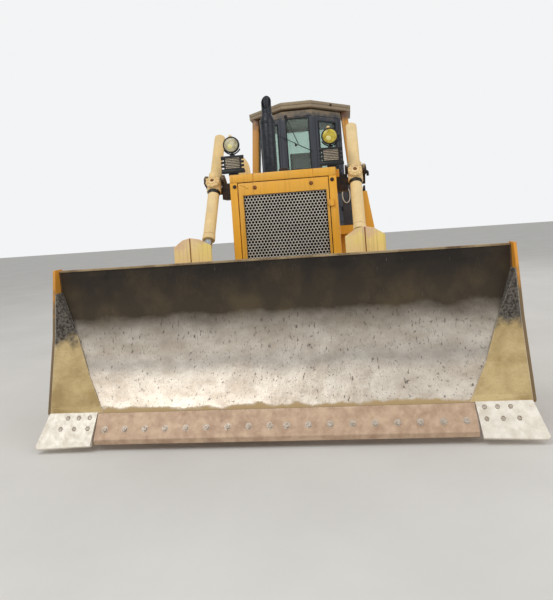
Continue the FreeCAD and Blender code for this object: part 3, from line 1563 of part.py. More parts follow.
def fuel_tank():
    """The rear tank with its slanted upper back and filler neck."""
    body = prism_x([(tank_front_y, tank_bottom_z), (tank_rear_y - tank_low_cut, tank_bottom_z),
                    (tank_rear_y, tank_bottom_z + tank_low_cut), (tank_rear_y, tank_top_z - 3 * tank_top_cut),
                    (tank_rear_y - tank_top_cut, tank_top_z), (tank_front_y, tank_top_z)],
                   -tank_half_width, tank_half_width)
    neck = V(tank_half_width * 0.6, tank_front_y + 1.5 * filler_radius, tank_top_z)
    return fused([body, faceted(neck, neck + V(0, 0, filler_radius), filler_radius, 12)])


def side_tank(side):
    """The tank on the deck beside the cab, its outer wall leaning inwards."""
    outline = [(side_tank_inner_x, deck_z), (side_tank_outer_x, deck_z),
               (side_tank_outer_x - side_tank_slope / 4, deck_z + side_tank_knee),
               (side_tank_outer_x - side_tank_slope, side_tank_top_z),
               (side_tank_inner_x, side_tank_top_z)]
    return on_side(prism_y(outline, side_tank_front_y, side_tank_rear_y), side)


def work_lamp(side):
    """A rectangular work lamp in its slotted housing."""
    x0, x1 = lamp_x - lamp_width / 2, lamp_x + lamp_width / 2
    low, high = lamp_z + lamp_window_low, lamp_z + lamp_height - lamp_window_top
    lens_y = lamp_y + lamp_lens_back
    front = lamp_y - cut_reach
    housing = box(x0, x1, lamp_y, lamp_y + lamp_depth, lamp_z, lamp_z + lamp_height)
    cuts = [box(x0 + lamp_window_side, x1 - lamp_window_side, front, lens_y, low, high)]
    slot_y = lamp_y + lamp_slot_depth
    for i in range(lamp_slots):
        z = lamp_z + lamp_slot_low + lamp_slot_pitch * i
        cuts.append(box(x0 - cut_reach, x0 + lamp_slot_depth, front, slot_y, z, z + lamp_slot))
        cuts.append(box(x1 - lamp_slot_depth, x1 + cut_reach, front, slot_y, z, z + lamp_slot))
    foot = box(lamp_x - lamp_foot_half, lamp_x + lamp_foot_half, lens_y, lamp_y + lamp_depth,
               guard_top_z, lamp_z)
    return on_side(fused([housing.cut(cuts), foot]), side)


def round_lamp(side):
    """A round lamp on a short stalk above the work lamp."""
    lamp_top = lamp_z + lamp_height
    stalk = V(lamp_x, lamp_y + round_lamp_depth / 2, lamp_top)
    bowl = V(lamp_x, lamp_y + round_lamp_depth, round_lamp_z)
    pieces = [faceted(V(lamp_x, lamp_y, round_lamp_z), bowl, round_lamp_radius, pipe_sides),
              faceted(bowl, bowl + V(0, round_lamp_depth / 2, 0), round_lamp_radius * 0.6, pipe_sides),
              faceted(stalk, V(stalk.x, stalk.y, round_lamp_z), stalk_radius, 8),
              faceted(stalk, stalk + V(0, 0, 1.5 * stalk_radius), 2.5 * stalk_radius, 8)]
    return on_side(fused(pieces), side)


def rear_lamps():
    """Two lamps on the roof frame's rear edge."""
    return apart([box(x - rear_lamp_half, x + rear_lamp_half, roof_rear_y, roof_rear_y + rear_lamp_depth,
                      roof_low_z + rear_lamp_rise, roof_low_z + roof_thick - rear_lamp_rise)
                  for x in (-rear_lamp_x, rear_lamp_x)])


# Every node by its name: a single piece, a pair in one node, or one node for each side
single_nodes = {
    "main_frame": main_frame,
    "drawbar": drawbar,
    "moldboard": moldboard,
    "cutting_edge": cutting_edge,
    "blade_back": blade_back,
    "arm_brace": arm_brace,
    "tilt_cylinder": tilt_cylinder,
    "radiator_guard": radiator_guard,
    "radiator_core": radiator_core,
    "grille_door": grille_door,
    "engine_block": engine_block,
    "hood": hood,
    "exhaust": exhaust,
    "air_intake": air_intake,
    "service_box": service_box,
    "cab_base": cab_base,
    "cab_shell": cab_shell,
    "cab_glass": cab_glass,
    "seat": seat,
    "console": console,
    "roof_frame": roof_frame,
    "fuel_tank": fuel_tank,
    "rear_lamps": rear_lamps,
}
paired_nodes = {
    "idlers": idler,
    "sprockets": sprocket,
    "final_drives": final_drive,
    "end_plates": blade_end_plate,
    "blade_corners": blade_corner,
    "end_bits": end_bit,
    "rod_shields": rod_shield,
    "push_arms": push_arm,
    "yoke_brackets": yoke_bracket,
    "side_panels": side_panel,
    "decks": deck,
    "side_tanks": side_tank,
    "work_lamps": work_lamp,
    "round_lamps": round_lamp,
}
sided_nodes = {
    "track": track,
    "track_frame": track_frame,
    "rollers": rollers,
    "lift_barrel": lift_barrel,
    "lift_rod": lift_rod,
    "engine_door": engine_door,
    "cab_door": cab_door,
    "cab_door_glass": cab_door_glass,
}


def main():
    os.makedirs("parts", exist_ok=True)
    shapes = {name: make() for name, make in single_nodes.items()}
    for name, make in paired_nodes.items():
        shapes[name] = apart([make(1), make(-1)])
    for name, make in sided_nodes.items():
        shapes[name + "_left"] = make(1)
        shapes[name + "_right"] = make(-1)
    for name, shape in shapes.items():
        shape.exportStep("parts/" + name + ".step")
        print(name, len(shape.Solids), round(shape.Volume / 1e9, 4), shape.isValid())


main()
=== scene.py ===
"""Dresses a crawler bulldozer for its portrait and for close views from every side.

Lengths are metres. +Z is up, -Y is forward towards the blade, and +X is the machine's own left.
"""
from __future__ import annotations

import json
import logging
import math
from dataclasses import dataclass
from enum import Enum

import bpy
from mathutils import Matrix, Vector

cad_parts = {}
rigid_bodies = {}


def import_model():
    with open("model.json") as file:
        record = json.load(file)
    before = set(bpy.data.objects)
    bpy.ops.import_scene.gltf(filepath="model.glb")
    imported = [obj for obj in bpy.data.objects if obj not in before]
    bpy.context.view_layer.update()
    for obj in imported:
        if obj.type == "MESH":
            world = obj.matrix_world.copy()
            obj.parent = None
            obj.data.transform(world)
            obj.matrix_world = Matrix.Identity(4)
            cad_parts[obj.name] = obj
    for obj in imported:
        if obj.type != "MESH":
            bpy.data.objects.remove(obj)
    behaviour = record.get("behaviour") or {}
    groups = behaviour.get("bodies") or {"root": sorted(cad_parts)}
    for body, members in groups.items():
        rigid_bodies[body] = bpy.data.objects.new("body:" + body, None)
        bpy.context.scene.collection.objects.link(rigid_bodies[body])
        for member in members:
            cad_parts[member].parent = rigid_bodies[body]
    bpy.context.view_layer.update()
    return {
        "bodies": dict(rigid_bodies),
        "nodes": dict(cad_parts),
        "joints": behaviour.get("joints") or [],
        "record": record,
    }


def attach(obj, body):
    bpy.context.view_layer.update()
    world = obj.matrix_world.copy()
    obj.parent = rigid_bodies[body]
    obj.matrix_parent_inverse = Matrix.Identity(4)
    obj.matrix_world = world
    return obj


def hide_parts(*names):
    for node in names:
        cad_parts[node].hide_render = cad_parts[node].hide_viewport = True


LOG = logging.getLogger("bulldozer")
UP = Vector((0, 0, 1))
AHEAD = Vector((0, -1, 0))
LEFT = Vector((1, 0, 0))


# Small tools for meshes and materials


def linear(colour: str) -> tuple[float, float, float, float]:
    """Turns an sRGB hex colour into linear light.

    Args:
        colour: the colour as "#RRGGBB".

    Returns:
        Red, green, blue and alpha as the shaders want them.
    """
    parts = [int(colour[i:i + 2], 16) / 255 for i in (1, 3, 5)]
    red, green, blue = (c / 12.92 if c <= 0.04045 else ((c + 0.055) / 1.055) ** 2.4 for c in parts)
    return red, green, blue, 1.0


def add_node(tree: bpy.types.NodeTree, kind: str, inputs: dict | None = None,
             **settings: object) -> bpy.types.Node:
    """Adds one shader node with its settings and links.

    Args:
        tree: the node tree of a material or of the world.
        kind: the node's type without its ShaderNode prefix.
        inputs: by the input's name or number, an output to link, a hex colour or a value.
        settings: the node's own properties.

    Returns:
        The new node.
    """
    node = tree.nodes.new("ShaderNode" + kind)
    for key, value in settings.items():
        setattr(node, key, value)
    for key, value in (inputs or {}).items():
        if isinstance(value, bpy.types.NodeSocket):
            tree.links.new(value, node.inputs[key])
        else:
            node.inputs[key].default_value = linear(value) if isinstance(value, str) else value
    return node


def empty_material(title: str) -> tuple[bpy.types.Material, bpy.types.NodeTree]:
    """Makes a material with an empty node tree.

    Args:
        title: the material's name.

    Returns:
        The material and its tree.
    """
    material = bpy.data.materials.new(title)
    material.use_nodes = True
    material.node_tree.nodes.clear()
    return material, material.node_tree


def grain(tree: bpy.types.NodeTree, size: float, low: float, high: float,
          stretch: tuple[float, float, float] = (1.0, 1.0, 1.0), detail: float = 5.0) -> bpy.types.NodeSocket:
    """A cloudy pattern on object coordinates, cut to a range.

    Args:
        tree: the material's tree.
        size: the pattern's grain in metres.
        low: the noise value that becomes 0.
        high: the noise value that becomes 1.
        stretch: how many times finer the grain is along each axis.
        detail: how many finer layers are added.

    Returns:
        The output with the pattern's factor.
    """
    place = add_node(tree, "TexCoord")
    scaled = add_node(tree, "Mapping", {"Vector": place.outputs["Object"], "Scale": stretch})
    noise = add_node(tree, "TexNoise", {"Vector": scaled.outputs[0], "Scale": 1 / size, "Detail": detail,
                                        "Roughness": 0.6})
    cut = add_node(tree, "MapRange", {"Value": noise.outputs[0], "From Min": low, "From Max": high})
    return cut.outputs[0]


def above(tree: bpy.types.NodeTree, height: float, fade: float) -> bpy.types.NodeSocket:
    """A mask that grows from 0 to 1 about a height, its border ragged.

    Args:
        tree: the material's tree.
        height: where the mask is half grown, in metres.
        fade: how far it takes to grow.

    Returns:
        The output with the mask.
    """
    place = add_node(tree, "TexCoord")
    apart = add_node(tree, "SeparateXYZ", {0: place.outputs["Object"]})
    ragged = add_node(tree, "MapRange", {"Value": grain(tree, 0.12, 0.2, 0.8), "To Min": -fade, "To Max": fade})
    line = add_node(tree, "Math", {0: apart.outputs[2], 1: ragged.outputs[0]}, operation="ADD")
    mask = add_node(tree, "MapRange", {"Value": line.outputs[0], "From Min": height - fade / 2,
                                       "From Max": height + fade / 2})
    return mask.outputs[0]


def edge_wear(tree: bpy.types.NodeTree, reach: float) -> bpy.types.NodeSocket:
    """A mask that is 1 along sharp edges and 0 on flats.

    Args:
        tree: the material's tree.
        reach: how far from an edge the mask begins, in metres.

    Returns:
        The output with the mask.
    """
    round_normal = add_node(tree, "Bevel", {"Radius": reach}, samples=4)
    flat_normal = add_node(tree, "NewGeometry")
    dot = add_node(tree, "VectorMath", {0: round_normal.outputs[0], 1: flat_normal.outputs["Normal"]},
                   operation="DOT_PRODUCT")
    mask = add_node(tree, "MapRange", {"Value": dot.outputs["Value"], "From Min": 0.985, "From Max": 0.80})
    return mask.outputs[0]


def only(piece: bpy.types.Object) -> None:
    """Selects one object alone and makes it the active one.

    Args:
        piece: the object.
    """
    bpy.ops.object.select_all(action="DESELECT")
    piece.select_set(True)
    bpy.context.view_layer.objects.active = piece


def titled(piece: bpy.types.Object, name: str) -> bpy.types.Object:
    """Gives an object and its mesh one name.

    Args:
        piece: the object.
        name: the name.

    Returns:
        The same object.
    """
    piece.name = name
    piece.data.name = name
    return piece


def settle(piece: bpy.types.Object, place: Matrix, smooth: float = 35.0) -> None:
    """Moves a mesh to its place, leaves its object at the origin and smooths its gentle edges.

    Args:
        piece: the object whose mesh is moved.
        place: where the mesh goes.
        smooth: the sharpest angle in degrees that is still shaded smooth.
    """
    only(piece)
    piece.matrix_world = place @ piece.matrix_world
    bpy.ops.object.transform_apply(location=True, rotation=True, scale=True)
    bpy.ops.object.shade_smooth_by_angle(angle=math.radians(smooth))


def towards(start: Vector, way: Vector) -> Matrix:
    """A place at start whose own Z looks along way."""
    return Matrix.Translation(start) @ UP.rotation_difference(way).to_matrix().to_4x4()


def turned(name: str, start: Vector, way: Vector, profile: list[tuple[float, float]], sides: int = 32,
           smooth: float = 35.0, open_ends: bool = False) -> bpy.types.Object:
    """A piece as from a lathe, extruded ring by ring from a disc.

    Args:
        name: the piece's name.
        start: where the profile's distance 0 lies.
        way: the direction of the turning axis.
        profile: distance along the axis and radius of each ring.
        sides: how many sides each ring has.
        smooth: the sharpest angle in degrees that is shaded smooth.
        open_ends: whether the end faces are taken off, as for a band round a tube.

    Returns:
        The piece, its object at the origin.
    """
    bpy.ops.object.select_all(action="DESELECT")
    first, radius = profile[0]
    bpy.ops.mesh.primitive_circle_add(vertices=sides, radius=radius, fill_type="NGON", location=(0, 0, 0))
    piece = titled(bpy.context.object, name)
    bpy.ops.object.mode_set(mode="EDIT")
    bpy.ops.mesh.select_all(action="SELECT")
    for (before, wide), (after, narrow) in zip(profile, profile[1:]):
        bpy.ops.mesh.extrude_region_move(TRANSFORM_OT_translate={"value": (0, 0, after - before)})
        bpy.ops.transform.resize(value=(narrow / wide, narrow / wide, 1), center_override=(0, 0, after - first))
    bpy.ops.mesh.select_all(action="SELECT")
    bpy.ops.mesh.normals_make_consistent(inside=False)
    if open_ends:
        bpy.ops.mesh.select_face_by_sides(number=4, type="GREATER", extend=False)
        bpy.ops.mesh.delete(type="FACE")
    bpy.ops.object.mode_set(mode="OBJECT")
    settle(piece, towards(start + way.normalized() * first, way), smooth)
    return piece


def slab(name: str, low: tuple, high: tuple, bevel: float = 0.004, segments: int = 2) -> bpy.types.Object:
    """A block between two corners with its edges rounded.

    Args:
        name: the piece's name.
        low: its lowest corner.
        high: its highest corner.
        bevel: the rounding of its edges.
        segments: how many strips each rounding has.

    Returns:
        The piece, its object at the origin.
    """
    bpy.ops.object.select_all(action="DESELECT")
    low, high = Vector(low), Vector(high)
    bpy.ops.mesh.primitive_cube_add(size=1.0, location=(low + high) / 2)
    piece = titled(bpy.context.object, name)
    piece.scale = high - low
    bpy.ops.object.transform_apply(location=True, rotation=False, scale=True)
    bpy.ops.object.mode_set(mode="EDIT")
    bpy.ops.mesh.select_all(action="SELECT")
    bpy.ops.mesh.bevel(offset=bevel, segments=segments, affect="EDGES")
    bpy.ops.object.mode_set(mode="OBJECT")
    bpy.ops.object.shade_smooth_by_angle(angle=math.radians(30))
    return piece


class Across(Enum):
    """The axis that a plate's thickness follows, with the turn from the plate's own plane."""

    X = ((0, 0, 1, 0), (1, 0, 0, 0), (0, 1, 0, 0), (0, 0, 0, 1))
    Y = ((1, 0, 0, 0), (0, 0, -1, 0), (0, 1, 0, 0), (0, 0, 0, 1))
    Z = ((1, 0, 0, 0), (0, 1, 0, 0), (0, 0, 1, 0), (0, 0, 0, 1))


def cut_plate(name: str, outline: list[tuple[float, float]], across: Across, low: float, high: float,
              holes: list[list[tuple[float, float]]] | None = None, bevel: float = 0.002) -> bpy.types.Object:
    """A plate cut to an outline, with holes, its edges broken all round.

    Args:
        name: the piece's name.
        outline: the outer outline in the plate's own plane.
        across: the axis of its thickness.
        low: where the thickness begins on that axis.
        high: where it ends.
        holes: the outlines of its holes.
        bevel: how much its edges are broken.

    Returns:
        The piece, its object at the origin.
    """
    bpy.ops.object.select_all(action="DESELECT")
    curve = bpy.data.curves.new(name, "CURVE")
    curve.dimensions = "2D"
    curve.fill_mode = "BOTH"
    for ring in [outline] + (holes or []):
        spline = curve.splines.new("POLY")
        spline.points.add(len(ring) - 1)
        spline.use_cyclic_u = True
        for point, (u, v) in zip(spline.points, ring):
            point.co = (u, v, 0, 1)
    curve.extrude = (high - low) / 2 - bevel
    curve.bevel_depth = bevel
    curve.bevel_resolution = 1
    curve.offset = -bevel
    piece = bpy.data.objects.new(name, curve)
    bpy.context.collection.objects.link(piece)
    only(piece)
    bpy.ops.object.convert(target="MESH")
    piece = titled(bpy.context.object, name)
    bpy.ops.object.mode_set(mode="EDIT")
    bpy.ops.mesh.select_all(action="SELECT")
    bpy.ops.mesh.remove_doubles(threshold=0.0001)
    bpy.ops.mesh.normals_make_consistent(inside=False)
    bpy.ops.object.mode_set(mode="OBJECT")
    turn = Matrix(across.value)
    middle = (low + high) / 2 * (-1 if across is Across.Y else 1)
    settle(piece, Matrix.Translation(turn @ UP * middle) @ turn, 30.0)
    return piece


def rectangle(u0: float, u1: float, v0: float, v1: float) -> list[tuple[float, float]]:
    """The four corners of a rectangle in a plate's plane."""
    return [(u0, v0), (u1, v0), (u1, v1), (u0, v1)]


def ring(u: float, v: float, radius: float, sides: int = 24) -> list[tuple[float, float]]:
    """The corners of a round outline in a plate's plane."""
    turns = [2 * math.pi * i / sides for i in range(sides)]
    return [(u + radius * math.cos(t), v + radius * math.sin(t)) for t in turns]


def pipe(name: str, points: list[Vector | tuple[float, float, float]], radius: float, bend: float = 0.03,
         sides: int = 3) -> bpy.types.Object:
    """A round bar or tube bent at each of its corners.

    Args:
        name: the piece's name.
        points: its straight runs' ends.
        radius: the bar's radius.
        bend: how far from a corner the bend begins.
        sides: the curve's bevel resolution.

    Returns:
        The piece, its object at the origin.
    """
    corners = [Vector(p) for p in points]
    line = [corners[0]]
    for before, corner, after in zip(corners, corners[1:], corners[2:]):
        start = corner + (before - corner).normalized() * bend
        end = corner + (after - corner).normalized() * bend
        for i in range(5):
            share = i / 4
            line.append(start * (1 - share) ** 2 + corner * 2 * share * (1 - share) + end * share ** 2)
    line.append(corners[-1])
    curve = bpy.data.curves.new(name, "CURVE")
    curve.dimensions = "3D"
    curve.bevel_depth = radius
    curve.bevel_resolution = sides
    curve.use_fill_caps = True
    spline = curve.splines.new("POLY")
    spline.points.add(len(line) - 1)
    for point, place in zip(spline.points, line):
        point.co = (*place, 1)
    piece = bpy.data.objects.new(name, curve)
    bpy.context.collection.objects.link(piece)
    only(piece)
    bpy.ops.object.convert(target="MESH")
    piece = titled(bpy.context.object, name)
    settle(piece, Matrix.Identity(4), 40.0)
    return piece


def joined(name: str, pieces: list[bpy.types.Object]) -> bpy.types.Object:
    """Joins several pieces in one object.

    Args:
        name: the joined piece's name.
        pieces: the pieces, the first of which takes in the rest.

    Returns:
        The joined piece.
    """
    bpy.ops.object.select_all(action="DESELECT")
    for piece in pieces:
        piece.select_set(True)
    bpy.context.view_layer.objects.active = pieces[0]
    if len(pieces) > 1:
        bpy.ops.object.join()
    return titled(bpy.context.object, name)


def repeated(name: str, piece: bpy.types.Object, places: list[Matrix]) -> bpy.types.Object:
    """Copies a piece to several places, each copy with its own mesh, and joins them.

    Args:
        name: the joined piece's name.
        piece: the model of the copies, which is used up.
        places: where each copy goes.

    Returns:
        The joined copies.
    """
    copies = []
    for place in places:
        copy = piece.copy()
        copy.data = piece.data.copy()
        copy.data.transform(place)
        bpy.context.collection.objects.link(copy)
        copies.append(copy)
    bpy.data.objects.remove(piece)
    return joined(name, copies)


def mirrored(name: str, piece: bpy.types.Object) -> bpy.types.Object:
    """A copy of a piece on the machine's other side, its faces turned right again.

    Args:
        name: the copy's name.
        piece: the piece, which stays.

    Returns:
        The copy.
    """
    copy = piece.copy()
    copy.data = piece.data.copy()
    copy.data.transform(Matrix.Scale(-1, 4, (1, 0, 0)))
    copy.data.flip_normals()
    bpy.context.collection.objects.link(copy)
    return titled(copy, name)


def beside(side: int) -> str:
    """The side's word in the frame's names."""
    return "left" if side > 0 else "right"


def around(centre: Vector, radius: float, count: int, first: float = 0.0) -> list[Vector]:
    """Places spread evenly round a circle that faces the machine's side.

    Args:
        centre: the circle's centre.
        radius: its radius.
        count: how many places there are.
        first: how many steps the first place lies on from the rear.

    Returns:
        The places.
    """
    turns = [2 * math.pi * (i + first) / count for i in range(count)]
    return [centre + Vector((0, radius * math.cos(t), radius * math.sin(t))) for t in turns]


def handle(name: str, first: Vector, last: Vector, reach: Vector, radius: float,
           bend: float) -> bpy.types.Object:
    """A round bar bent out from one foot, along, and back to the other foot.

    Args:
        name: the bar's name.
        first: its first foot.
        last: its last foot.
        reach: how far, and which way, it stands off its feet.
        radius: the bar's radius.
        bend: how far from a corner the bend begins.

    Returns:
        The bar.
    """
    return pipe(name, [first, first + reach, last + reach, last], radius, bend)


# Finishes


@dataclass(frozen=True)
class Enamel:
    """Sprayed machine enamel over primer: satin, gone chalky, chipped at its edges, dusty on top."""

    title: str
    colour: str
    faded: str
    gloss: float = 0.42
    chips: float = 0.55
    runs: float = 0.35
    soil_top: float = 0.9
    dust: str = "#B8A27C"
    soil: str = "#94794F"
    primer: str = "#5C3A22"
    rain: str = "#6B4A20"
    crown: float | None = None
    crown_colour: str = "#70482C"
    front_soil: float | None = None
    ground_in: str = "#7A6443"

    def build(self) -> bpy.types.Material:
        """Builds the material's nodes.

        Returns:
            The material.
        """
        material, tree = empty_material(self.title)
        place, normal = add_node(tree, "TexCoord"), add_node(tree, "NewGeometry")
        height = add_node(tree, "SeparateXYZ", {0: place.outputs["Object"]})
        facing = add_node(tree, "SeparateXYZ", {0: normal.outputs["Normal"]})
        level = add_node(tree, "MapRange", {"Value": facing.outputs[2], "From Min": 0.35, "From Max": 0.95})
        low = add_node(tree, "MapRange", {"Value": height.outputs[2], "From Min": self.soil_top,
                                          "From Max": 0.15})
        edge = add_node(tree, "Math", {0: edge_wear(tree, 0.014), 1: grain(tree, 0.05, 0.40, 0.62)},
                        operation="MULTIPLY")
        chipped = add_node(tree, "Math", {0: edge.outputs[0], 1: grain(tree, 0.03, 0.70, 0.74)},
                           operation="MAXIMUM")
        # rain has drawn thin dark runs down the upright faces, chips show brown primer along edges and,
        # here and there, on flats, dust lies on what looks up, and dried soil clings to the lower parts
        runs, chips, dusty, muddy = (
            add_node(tree, "Math", {0: mask, 1: share}, operation="MULTIPLY").outputs[0]
            for mask, share in ((grain(tree, 0.9, 0.52, 0.78, (28.0, 28.0, 1.0)), self.runs),
                                (chipped.outputs[0], self.chips),
                                (level.outputs[0], grain(tree, 0.25, 0.30, 0.62)),
                                (low.outputs[0], grain(tree, 0.3, 0.34, 0.56))))
        layers = [(runs, self.rain), (chips, self.primer), (dusty, self.dust), (muddy, self.soil)]
        # some pieces are rusty, muddy or rubbed pale towards their tops
        if self.crown is not None:
            layers.append((above(tree, self.crown, 0.12), self.crown_colour))
        # soil has ground into the edges that meet it first
        if self.front_soil is not None:
            ahead = add_node(tree, "MapRange", {"Value": facing.outputs[1], "From Min": -0.55,
                                                "From Max": -0.85})
            under = add_node(tree, "Math", {0: 1.0, 1: above(tree, self.front_soil, 0.16)},
                             operation="SUBTRACT")
            caked = add_node(tree, "Math", {0: ahead.outputs[0], 1: under.outputs[0]}, operation="MULTIPLY")
            layers.append((caked.outputs[0], self.ground_in))
        # the colour has bleached in broad patches about a metre wide
        skin = add_node(tree, "Mix", {0: grain(tree, 0.8, 0.38, 0.68), 6: self.colour, 7: self.faded},
                        data_type="RGBA")
        for mask, colour in layers:
            skin = add_node(tree, "Mix", {0: mask, 6: skin.outputs[2], 7: colour}, data_type="RGBA")
        matt = chips
        for mask in (dusty, muddy):
            matt = add_node(tree, "Math", {0: matt, 1: mask}, operation="MAXIMUM").outputs[0]
        rough = add_node(tree, "MapRange", {"Value": matt, "To Min": self.gloss, "To Max": 0.88})
        ripple = add_node(tree, "Bump", {"Strength": 0.12, "Distance": 0.002,
                                         "Height": grain(tree, 0.012, 0.3, 0.7)})
        shader = add_node(tree, "BsdfPrincipled", {
            "Base Color": skin.outputs[2], "Roughness": rough.outputs[0], "Normal": ripple.outputs[0],
            "Coat Weight": 0.15, "Coat Roughness": 0.3})
        add_node(tree, "OutputMaterial", {0: shader.outputs[0]})
        return material


@dataclass(frozen=True)
class BladeSteel:
    """Rolled high-carbon plate: scoured bright by soil low down, brown with rust and soot above."""

    title: str = "scoured blade plate"
    steel: tuple[str, str] = ("#BDAF9E", "#E2D8C9")
    rust: tuple[str, str] = ("#3A3022", "#4E412C")
    soot: str = "#1F1811"
    score: str = "#8A7C68"
    pit: str = "#6E665E"
    scratch: str = "#8C857C"
    dull: str = "#7F7A72"
    band: str = "#8F8A85"
    soil: str = "#B79C70"
    bright_top: float = 0.95
    bright_low: float = 0.285
    soot_from: float = 1.10
    soot_full: float = 1.38

    def build(self) -> bpy.types.Material:
        """Builds the material's nodes.

        Returns:
            The material.
        """
        material, tree = empty_material(self.title)
        place = add_node(tree, "TexCoord")
        height = add_node(tree, "SeparateXYZ", {0: place.outputs["Object"]})
        # the scoured band's upper border wanders by a few centimetres and is ragged
        wander = add_node(tree, "MapRange", {"Value": grain(tree, 0.35, 0.0, 1.0, (1.0, 1.0, 2.0)),
                                             "To Min": -0.09, "To Max": 0.09})
        line = add_node(tree, "Math", {0: height.outputs[2], 1: wander.outputs[0]}, operation="ADD")
        bright = add_node(tree, "MapRange", {"Value": line.outputs[0], "From Min": self.bright_top + 0.08,
                                             "From Max": self.bright_top - 0.12})
        # soot and old oil darken it towards its top
        soot = add_node(tree, "MapRange", {"Value": line.outputs[0], "From Min": self.soot_from,
                                           "From Max": self.soot_full})
        sooty = add_node(tree, "Math", {0: soot.outputs[0], 1: grain(tree, 0.4, 0.20, 0.60)},
                         operation="MULTIPLY")
        # stones have scored the rusty part with fine pale lines
        scored = add_node(tree, "Math", {0: grain(tree, 0.6, 0.66, 0.74, (70.0, 70.0, 1.0)), 1: 0.5},
                          operation="MULTIPLY")
        # the bright part has dark pits drawn out downwards and fine scratches left by stones, dulls from
        # its foot to its border, and has a darker band half way up
        pits = grain(tree, 0.035, 0.60, 0.68, (1.6, 1.6, 0.7))
        scratches = grain(tree, 0.5, 0.58, 0.70, (60.0, 60.0, 1.0))
        dull = add_node(tree, "MapRange", {"Value": height.outputs[2], "From Min": 0.55, "From Max": 0.98,
                                           "To Max": 0.45})
        band_in = add_node(tree, "MapRange", {"Value": line.outputs[0], "From Min": 0.50, "From Max": 0.60})
        band_out = add_node(tree, "MapRange", {"Value": line.outputs[0], "From Min": 0.72, "From Max": 0.62})
        band = add_node(tree, "Math", {0: band_in.outputs[0], 1: band_out.outputs[0]}, operation="MULTIPLY")
        faint = add_node(tree, "Math", {0: band.outputs[0], 1: 0.45}, operation="MULTIPLY")
        halves = []
        for mottle, colours, layers in (
                (grain(tree, 0.3, 0.44, 0.66, (1.2, 1.2, 1.0)), self.rust,
                 ((sooty.outputs[0], self.soot), (scored.outputs[0], self.score))),
                (grain(tree, 0.22, 0.35, 0.68, (1.0, 1.0, 1.6)), self.steel,
                 ((pits, self.pit), (scratches, self.scratch), (dull.outputs[0], self.dull),
                  (faint.outputs[0], self.band)))):
            half = add_node(tree, "Mix", {0: mottle, 6: colours[0], 7: colours[1]}, data_type="RGBA")
            for mask, colour in layers:
                half = add_node(tree, "Mix", {0: mask, 6: half.outputs[2], 7: colour}, data_type="RGBA")
            halves.append(half.outputs[2])
        blended = add_node(tree, "Mix", {0: bright.outputs[0], 6: halves[0], 7: halves[1]}, data_type="RGBA")
        # soil still sticks along the foot
        drift = add_node(tree, "MapRange", {"Value": grain(tree, 0.2, 0.2, 0.8), "To Min": -0.03,
                                            "To Max": 0.03})
        low = add_node(tree, "Math", {0: height.outputs[2], 1: drift.outputs[0]}, operation="ADD")
        foot = add_node(tree, "MapRange", {"Value": low.outputs[0], "From Min": self.bright_low + 0.02,
                                           "From Max": self.bright_low})
        soiled = add_node(tree, "Mix", {0: foot.outputs[0], 6: blended.outputs[2], 7: self.soil},
                          data_type="RGBA")
        # only the scoured, clean part shines as metal
        clean = add_node(tree, "Math", {0: bright.outputs[0], 1: foot.outputs[0]}, operation="SUBTRACT",
                         use_clamp=True)
        metal = add_node(tree, "MapRange", {"Value": clean.outputs[0], "To Min": 0.02, "To Max": 0.7})
        rough = add_node(tree, "MapRange", {"Value": clean.outputs[0], "To Min": 0.82, "To Max": 0.42})
        dents = add_node(tree, "Bump", {"Strength": 0.35, "Distance": 0.01,
                                        "Height": grain(tree, 0.12, 0.2, 0.8, (1.0, 1.0, 0.4))})
        shader = add_node(tree, "BsdfPrincipled", {
            "Base Color": soiled.outputs[2], "Metallic": metal.outputs[0], "Roughness": rough.outputs[0],
            "Normal": dents.outputs[0]})
        add_node(tree, "OutputMaterial", {0: shader.outputs[0]})
        return material


@dataclass(frozen=True)
class RoughMetal:
    """Cast or forged steel with a dusty skin: dull, mottled, brighter where it rubs."""

    title: str
    colour: str
    second: str
    bright: str
    rub: float = 0.6
    metal: float = 0.35
    gloss: float = 0.7
    size: float = 0.12
    relief: float = 0.4
    crown: float | None = None
    crown_colour: str = "#6E685F"

    def build(self) -> bpy.types.Material:
        """Builds the material's nodes.

        Returns:
            The material.
        """
        material, tree = empty_material(self.title)
        base = add_node(tree, "Mix", {0: grain(tree, self.size, 0.38, 0.64), 6: self.colour, 7: self.second},
                        data_type="RGBA")
        if self.crown is not None:
            speckle = add_node(tree, "Mix", {0: grain(tree, 0.02, 0.42, 0.60), 6: self.crown_colour,
                                             7: "#3A332B"}, data_type="RGBA")
            base = add_node(tree, "Mix", {0: above(tree, self.crown, 0.10), 6: base.outputs[2],
                                          7: speckle.outputs[2]}, data_type="RGBA")
        rubbed = add_node(tree, "Math", {0: edge_wear(tree, 0.012), 1: self.rub}, operation="MULTIPLY")
        shown = add_node(tree, "Mix", {0: rubbed.outputs[0], 6: base.outputs[2], 7: self.bright},
                         data_type="RGBA")
        rough = add_node(tree, "MapRange", {"Value": grain(tree, 0.04, 0.3, 0.7), "To Min": self.gloss - 0.12,
                                            "To Max": self.gloss + 0.12})
        cast = add_node(tree, "Bump", {"Strength": self.relief, "Distance": 0.004,
                                       "Height": grain(tree, 0.02, 0.3, 0.7)})
        shader = add_node(tree, "BsdfPrincipled", {
            "Base Color": shown.outputs[2], "Metallic": self.metal, "Roughness": rough.outputs[0],
            "Normal": cast.outputs[0]})
        add_node(tree, "OutputMaterial", {0: shader.outputs[0]})
        return material


